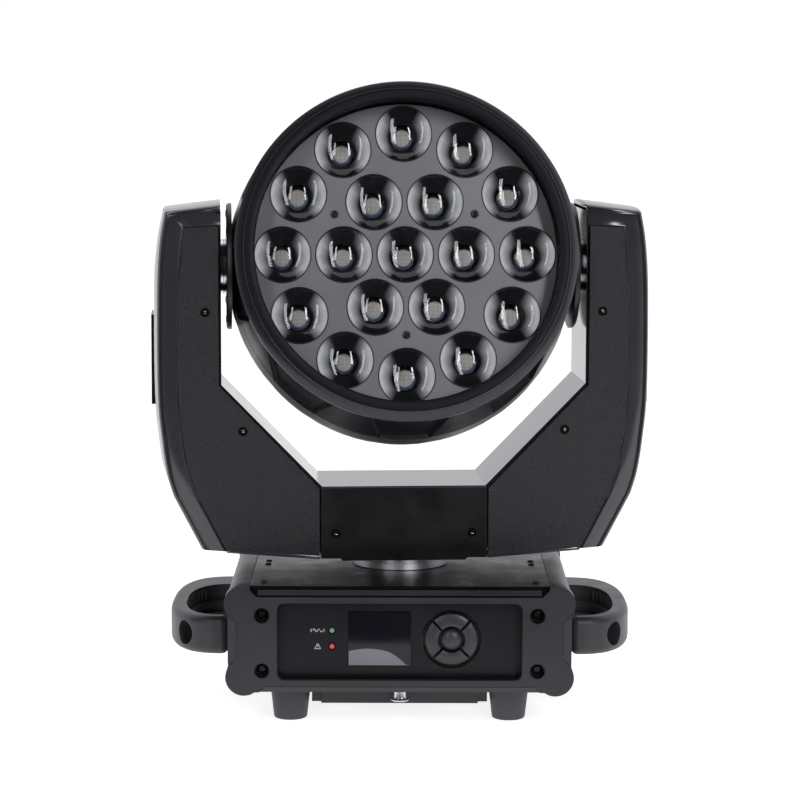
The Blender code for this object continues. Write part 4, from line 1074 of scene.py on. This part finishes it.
def shell_radius(along):
    """The head shell's outer radius at a distance behind its front edge."""
    points = [(-0.0668, 0.1312), (-0.0450, 0.1345), (-0.0150, 0.1400), (0.0050, 0.1420), (0.0250, 0.1400)]
    points += [(0.0600, 0.1320), (0.0880, 0.1180), (0.0960, 0.1110)]
    for (a, low), (b, high) in zip(points, points[1:]):
        if along <= b:
            return low + (high - low) * (along - a) / (b - a)
    return points[-1][1]


def ease(value, start, end):
    """0 below start, 1 above end, with an easy run between."""
    t = min(max((value - start) / (end - start), 0), 1)
    return t * t * (3 - 2 * t)


def pocket_reach(along):
    """Half of a pocket's width there: wide at the ring and narrow at the rear."""
    return 0.0330 - 0.0130 * (along + 0.0620) / 0.0480


def pocket_offsets(along):
    """Distances from a pocket's middle round the shell, close together at its flank."""
    reach = pocket_reach(along)
    middle = [reach * share for share in (0, 0.25, 0.5, 0.75)]
    flank = [reach - 0.0034, reach - 0.0026, reach - 0.0013, reach - 0.0002, reach + 0.0004]
    end = pi / POCKETS * SHELL_MEAN_R
    return middle + flank + [reach + (end - reach) * share for share in (0.45, 0.72, 1.0)]


def pocket_depth(off, along):
    """How deep the shallow recess is there. Its floor runs on under the ring's collar."""
    reach = pocket_reach(along)
    flank = 1 - ease(off, reach - 0.0030, reach)
    ends = 1 - ease(along, -0.0156, -0.0144)
    deepest = min(POCKET_DEPTH, shell_radius(along) - COLLAR_R)
    return deepest * flank * ends


def shell_section(along):
    """One closed loop round the shell, cut flat at its sides."""
    offsets = pocket_offsets(along)
    offsets = [-off for off in reversed(offsets[1:])] + offsets[:-1]
    loop = []
    for i in range(POCKETS):
        middle = 2 * pi * i / POCKETS - pi / 2
        for off in offsets:
            turn = middle + off / SHELL_MEAN_R
            radius = shell_radius(along) - pocket_depth(abs(off), along)
            x = radius * cos(turn) * (1 - SHELL_NARROWING * ease(along, -0.0550, -0.0100))
            loop.append((min(max(x, -SHELL_FLAT_X), SHELL_FLAT_X), along, radius * sin(turn)))
    return loop


def make_shell():
    """The head's housing: round with flat sides, and recessed pockets in the belt behind the ring."""
    stations = [-0.0668, -0.0660, -0.0640, -0.0600, -0.0540, -0.0480, -0.0420, -0.0350, -0.0280, -0.0220]
    stations += [-0.0186 + 0.0006 * i for i in range(15)]
    stations += [-0.0060, 0.0000, 0.0050, 0.0150, 0.0250, 0.0400, 0.0600, 0.0740, 0.0880, 0.0920, 0.0960]
    sections = [shell_section(along) for along in stations]
    lining = [(0.0960, 0.1045), (0.0850, 0.1100), (0.0500, 0.1270), (0.0050, 0.1300)]
    lining += [(-0.0200, 0.1284), (-0.0668, 0.1284)]
    for along, radius in lining:
        loop = []
        for x, _, z in sections[0]:
            turn = atan2(z, x)
            loop.append((min(max(radius * cos(turn) * 0.985, -0.1290), 0.1290), along, radius * sin(turn)))
        sections.append(loop)
    shell = loft(sections, closed=True)
    add("head_shell_skin", shell, "head", "shell", "cover_black", "head_shell", sharp=34)


def make_rear_cover():
    """The head's domed back with rows of slots and its screws."""
    outer = [(0, 0.1250), (0.0450, 0.1245), (0.0800, 0.1228), (0.0950, 0.1195), (0.1030, 0.1140)]
    outer += [(0.1080, 0.1070), (0.1098, 0.1015), (0.1098, 0.0964)]
    inner = [(0.1060, 0.0964), (0.1040, 0.1010), (0.0970, 0.1120), (0.0860, 0.1185), (0.0450, 0.1210)]
    inner.append((0, 0.1216))
    cover = turned(outer + inner, "Y", segments=144)
    slots = []
    for i in range(-6, 7):
        height = i * 0.0095
        outline = rounded_box(span(0, sqrt(0.0660**2 - height**2)), span(height, 0.0024), 0.0023)
        slots.append(prism(outline, 0.05, FAR, "Y"))
    add("rear_cover_skin", cut(cover, *slots), "head", "shell", "cover_black", "rear_cover", bevel=0.0004)
    heads = []
    for x, z in arc((0, 0), 1, 30, 330, 5):
        place = facing(REAR_SCREW_R * x, 0.1208, REAR_SCREW_R * z, (0.25 * x, 1, 0.25 * z))
        heads.append(moved(cross_screw(0.0030, 0.0014), place))
    add("rear_screws", merged(heads), "head", "screw", "satin_black")


def make_lens_plate():
    """The sliding plate, its lens openings and screw seats slightly sunk."""
    profile = [(0, 0), (0.1178, 0), (0.1184, 0.0006), (0.1184, 0.003), (0, 0.003)]
    plate = turned([(radius, PLATE_FRONT + back) for radius, back in profile], "Y", segments=192)
    holes = [rod(LENS_HOLE_R, -0.1, 0, "Y", (x, 0, z), 72) for x, z in lens_centres()]
    seats = []
    spots = arc((0, 0), PLATE_SCREW_R, 30, 270, 2)
    for x, z in spots:
        seats.append(rod(0.0034, -0.1, PLATE_FRONT + 0.0018, "Y", (x, 0, z), 40))
    cut(plate, *holes, *seats)
    add("lens_plate_skin", plate, "zoom_carriage", "lens_plate", "plate_grey", "lens_plate", bevel=0.0005)
    places = [facing(x, PLATE_FRONT + 0.0016, z, (0, -1, 0)) for x, z in spots]
    place_screws("plate_screw", socket_screw(0.0022, 0.0010, 0.0012), places, "zoom_carriage")
    bush = [(0.0025, 0.0001), (0.0033, 0.0001), (0.0033, -0.0015), (0.0030, -0.0018), (0.0026, -0.0016)]
    place_screws("plate_bush", turned(bush, "Y", segments=48), places, "zoom_carriage", "brass")


def dome_profile():
    """A plano-convex lens along -Y: its rim sits in the plate and its face is part of a sphere."""
    rim = PLATE_FRONT - 0.0002
    sphere = (LENS_R**2 + LENS_RISE**2) / (2 * LENS_RISE)
    widest = atan2(LENS_R, sphere - LENS_RISE)
    turns = [widest * i / 28 for i in range(28, 0, -1)]
    cap = [(sphere * sin(t), rim - LENS_RISE + sphere * (1 - cos(t))) for t in turns]
    back = PLATE_FRONT + 0.0040
    return [(0, back), (LENS_R, back)] + cap + [(0, rim - LENS_RISE)]


def seat_wall():
    """The sloping wall of a lens seat, with pale painted light on its sides."""
    section = [(0.0074, -0.0420), (0.0104, -0.0445), (0.0160, -0.0469), (0.0211, -0.0491), (0.0211, -0.0485)]
    section += [(0.0104, -0.0437), (0.0074, -0.0412)]
    return turned(section, "Y", segments=112)


def lower_rim():
    """The bluish lip under a light guide's window."""
    section = [(0.0037, -0.0392), (0.0050, -0.0384), (0.0052, -0.0388), (0.0048, -0.0397), (0.0039, -0.0397)]
    turns = [radians(188 + 164 * i / 32) for i in range(33)]
    return loft([[(r * cos(t), y, r * sin(t)) for r, y in section] for t in turns])


def make_lenses():
    """Nineteen clear lenses. Behind each are a dark stepped cup and the window of its LED's light guide."""
    gasket = [(0.0214, -0.0500), (0.0214, -0.0536), (0.0217, -0.0541), (0.0222, -0.0541), (0.0224, -0.0537)]
    cup = [(0.0212, -0.0490), (0.0204, -0.0478), (0.0150, -0.0440), (0.0108, -0.0428), (0.0102, -0.0414)]
    cup += [(0.0070, -0.0402), (0.0052, -0.0384), (0.0052, -0.0360), (0.0212, -0.0460)]
    window = [(0, -0.0340), (0.0046, -0.0340), (0.0046, -0.0386), (0.0036, -0.0392), (0, -0.0393)]
    kinds = [
        ("lens", dome_profile(), "lens", "lens_clear", ["lens_array"]),
        ("lens_gasket", gasket + [(0.0224, -0.0500)], "well", "satin_black", []),
        ("lens_cup", cup, "cup", "satin_black", []),
        ("light_guide", window, "emitter", "plate_grey", []),
    ]
    shapes = [(name, turned(profile, "Y", segments=112), *rest) for name, profile, *rest in kinds]
    shapes.append(("lens_seat_wall", seat_wall(), "wall", "plate_grey", []))
    shapes.append(("guide_rim", lower_rim(), "emitter_rim", "polished_metal", []))
    for name, obj, look, slot, nodes in shapes:
        first = add(f"{name}_1", obj, "zoom_carriage", look, slot, *nodes)
        for i, (x, z) in enumerate(lens_centres()[1:]):
            repeat(first, f"{name}_{i + 2}", at(x, 0, z), "zoom_carriage")


def make_pivot(side):
    """A side plate with its screws and stepped hub. The right one carries the tilt pulley."""
    sign = 1 if side == "right" else -1
    profile = [(0.0100, 0.1338), (0.0498, 0.1338), (0.0498, 0.1358), (0.0494, 0.1370), (0.0482, 0.1378)]
    profile += [(0.0240, 0.1378), (0.0190, 0.1374), (0.0190, 0.1500), (0.0100, 0.1500)]
    plate = turned([(radius, sign * along) for radius, along in profile], "X", segments=120)
    node = f"pivot_{side}"
    if side == "right":
        hub = [(0.0100, 0.1502), (0.0218, 0.1502), (0.0218, 0.1565), (0.0320, 0.1565), (0.0320, 0.1579)]
        hub += [(0.0300, 0.1579), (0.0300, 0.1661), (0.0320, 0.1661), (0.0320, 0.1673), (0.0100, 0.1673)]
        plate = merged([plate, turned(hub, "X", segments=96)])
    add(f"{node}_skin", plate, "head", "paint", "satin_black", node, sharp=30)
    sleeve = [(0.0188, 0.1372), (0.0220, 0.1372), (0.0220, 0.1380), (0.0214, 0.1382), (0.0214, 0.1386)]
    sleeve += [(0.0218, 0.1388), (0.0218, 0.1401), (0.0214, 0.1404), (0.0214, 0.1499), (0.0188, 0.1499)]
    ring = turned([(radius, sign * along) for radius, along in sleeve], "X", segments=96)
    add(f"{node}_sleeve", ring, "head", "steel", "polished_metal", sharp=30)
    spots = arc((0, 0), PIVOT_SCREW_R, 30, 330, 5)
    places = [facing(sign * 0.1377, y, z, (sign, 0, 0)) for y, z in spots]
    place_screws(f"{node}_screw", socket_screw(0.0032, 0.0008, 0.0014), places, "head")


# ---------------------------------------------------------------- stage
def make_floor():
    front = [(x / 10, TABLE_FRONT + 0.035 * (x / 10) ** 2) for x in range(-30, 31)]
    floor = prism(front + [(3.0, 30.0), (-3.0, 30.0)], -0.02, 0, "Z")
    floor.name = "floor"
    graph = Finish("pale_floor", {"Roughness": 0.6, "Specular IOR Level": 0.0})
    settings(graph.shader, {"Emission Color": (1, 1, 1, 1), "Emission Strength": 0.80})
    graph.drive("Base Color", graph.shades(graph.noise(3, 3), (0.80, 0.80, 0.82), (0.84, 0.84, 0.86)))
    floor.data.materials.append(graph.material)
    floor.location = (0, 0, -0.0002)


def make_strip(side):
    """An upright strip light on one side, which looks at the middle of the object."""
    name = f"strip_{side}"
    light = bpy.data.lights.new(name, "AREA")
    light.shape = "RECTANGLE"
    light.size, light.size_y = STRIP_SIZE
    light.energy = STRIP_POWER[side]
    light.color = STRIP_COLOUR
    obj = bpy.data.objects.new(name, light)
    bpy.context.scene.collection.objects.link(obj)
    a, e = radians(STRIP_AZIMUTH * side), radians(STRIP_ELEVATION)
    back = Vector((sin(a) * cos(e), -cos(a) * cos(e), sin(e)))
    obj.location = AIM + back * STRIP_DISTANCE
    obj.rotation_euler = back.to_track_quat("Z", "Y").to_euler()


def make_world():
    """White surroundings, darker overhead and dark where the lights stand. The camera sees plain white."""
    world = bpy.data.worlds.new("studio")
    bpy.context.scene.world = world
    graph = Graph(world, "Generated")
    ramp = graph.add("ShaderNodeValToRGB")
    for position, shade in WORLD_SHADES:
        element = ramp.color_ramp.elements.new(position)
        element.color = (shade, shade, shade * 1.04, 1)
    ramp.color_ramp.elements.remove(ramp.color_ramp.elements[0])
    ramp.color_ramp.elements.remove(ramp.color_ramp.elements[-1])
    split = graph.add("ShaderNodeSeparateXYZ")
    graph.link(graph.place, split, "Vector")
    overhead = graph.maths("MAXIMUM", split.outputs["Z"])
    backness = graph.blend(split.outputs["Y"], overhead, -CEILING_SHADE)
    graph.link(graph.spread(backness, 0, 1, -1, 1), ramp, "Fac")
    surround = graph.nodes["Background"]
    settings(surround, {"Strength": WORLD_STRENGTH})
    graph.link(ramp.outputs["Color"], surround, "Color")
    plain = graph.add("ShaderNodeBackground", Color=(1, 1, 1, 1))
    mix = graph.add("ShaderNodeMixShader")
    graph.link(graph.add("ShaderNodeLightPath").outputs["Is Camera Ray"], mix, "Fac")
    graph.link(surround.outputs["Background"], mix, 1)
    graph.link(plain.outputs["Background"], mix, 2)
    graph.link(mix.outputs["Shader"], graph.nodes["World Output"], "Surface")


def make_stage():
    make_floor()
    make_world()
    for side in (-1, 1):
        make_strip(side)
    bpy.context.scene.view_settings.view_transform = "Standard"


def make_camera():
    """The camera's height and pitch, in front of the pan axis and a touch rolled."""
    data = bpy.data.cameras.new("camera")
    data.lens = CAMERA_LENS
    data.sensor_width = 36
    data.clip_end = 100
    camera = bpy.data.objects.new("camera", data)
    bpy.context.scene.collection.objects.link(camera)
    pitch, roll = radians(CAMERA_PITCH), radians(CAMERA_ROLL)
    turn = Matrix.Rotation(pi / 2 - pitch, 4, "X") @ Matrix.Rotation(roll, 4, "Z")
    camera.matrix_world = at(CAMERA_X, PAN.y - CAMERA_DISTANCE, CAMERA_Z) @ turn
    bpy.context.scene.camera = camera


# ---------------------------------------------------------------- everything
def make_base():
    half_turn = Matrix.Rotation(pi, 4, "Z")
    make_bezel("front_bezel_skin", "front_bezel", Matrix.Identity(4))
    make_bezel("rear_bezel_skin", "rear_bezel", half_turn)
    make_housing()
    make_panel()
    make_signs()
    make_display()
    make_status_light("signal_light", "signal_led", LED_Z["signal"], "green", "green_led")
    make_status_light("fault_light", "error_led", LED_Z["error"], "red", "red_led")
    for direction, middle in (("right", 0), ("up", 90), ("left", 180), ("down", 270)):
        make_arrow_button(f"button_{direction}", middle)
    make_enter_button()
    make_rear_panel()
    for side, x in (("left", -FOOT[0]), ("right", FOOT[0])):
        make_handle(side)
        for end, y in (("front", -FOOT[1]), ("rear", FOOT[1])):
            make_foot(f"foot_{end}_{side}", x, y)
    make_stud()


def make_head():
    make_ring()
    make_shell()
    make_rear_cover()
    make_lens_plate()
    make_lenses()
    for side in ("left", "right"):
        make_pivot(side)


def repaint_inside():
    """The drives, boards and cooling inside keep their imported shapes."""
    looks = {
        "aluminium": "power_supply pan_bearing pan_motor_pulley tilt_motor_pulley heat_sink zoom_screw",
        "motor": "pan_motor tilt_motor zoom_motor head_fan",
        "board": "control_board led_board",
        "belt": "pan_belt tilt_belt",
    }
    for look, nodes in looks.items():
        for node in nodes.split():
            repaint(node, look)


make_camera()
make_stage()
make_base()
make_column()
make_yoke()
make_head()
repaint_inside()
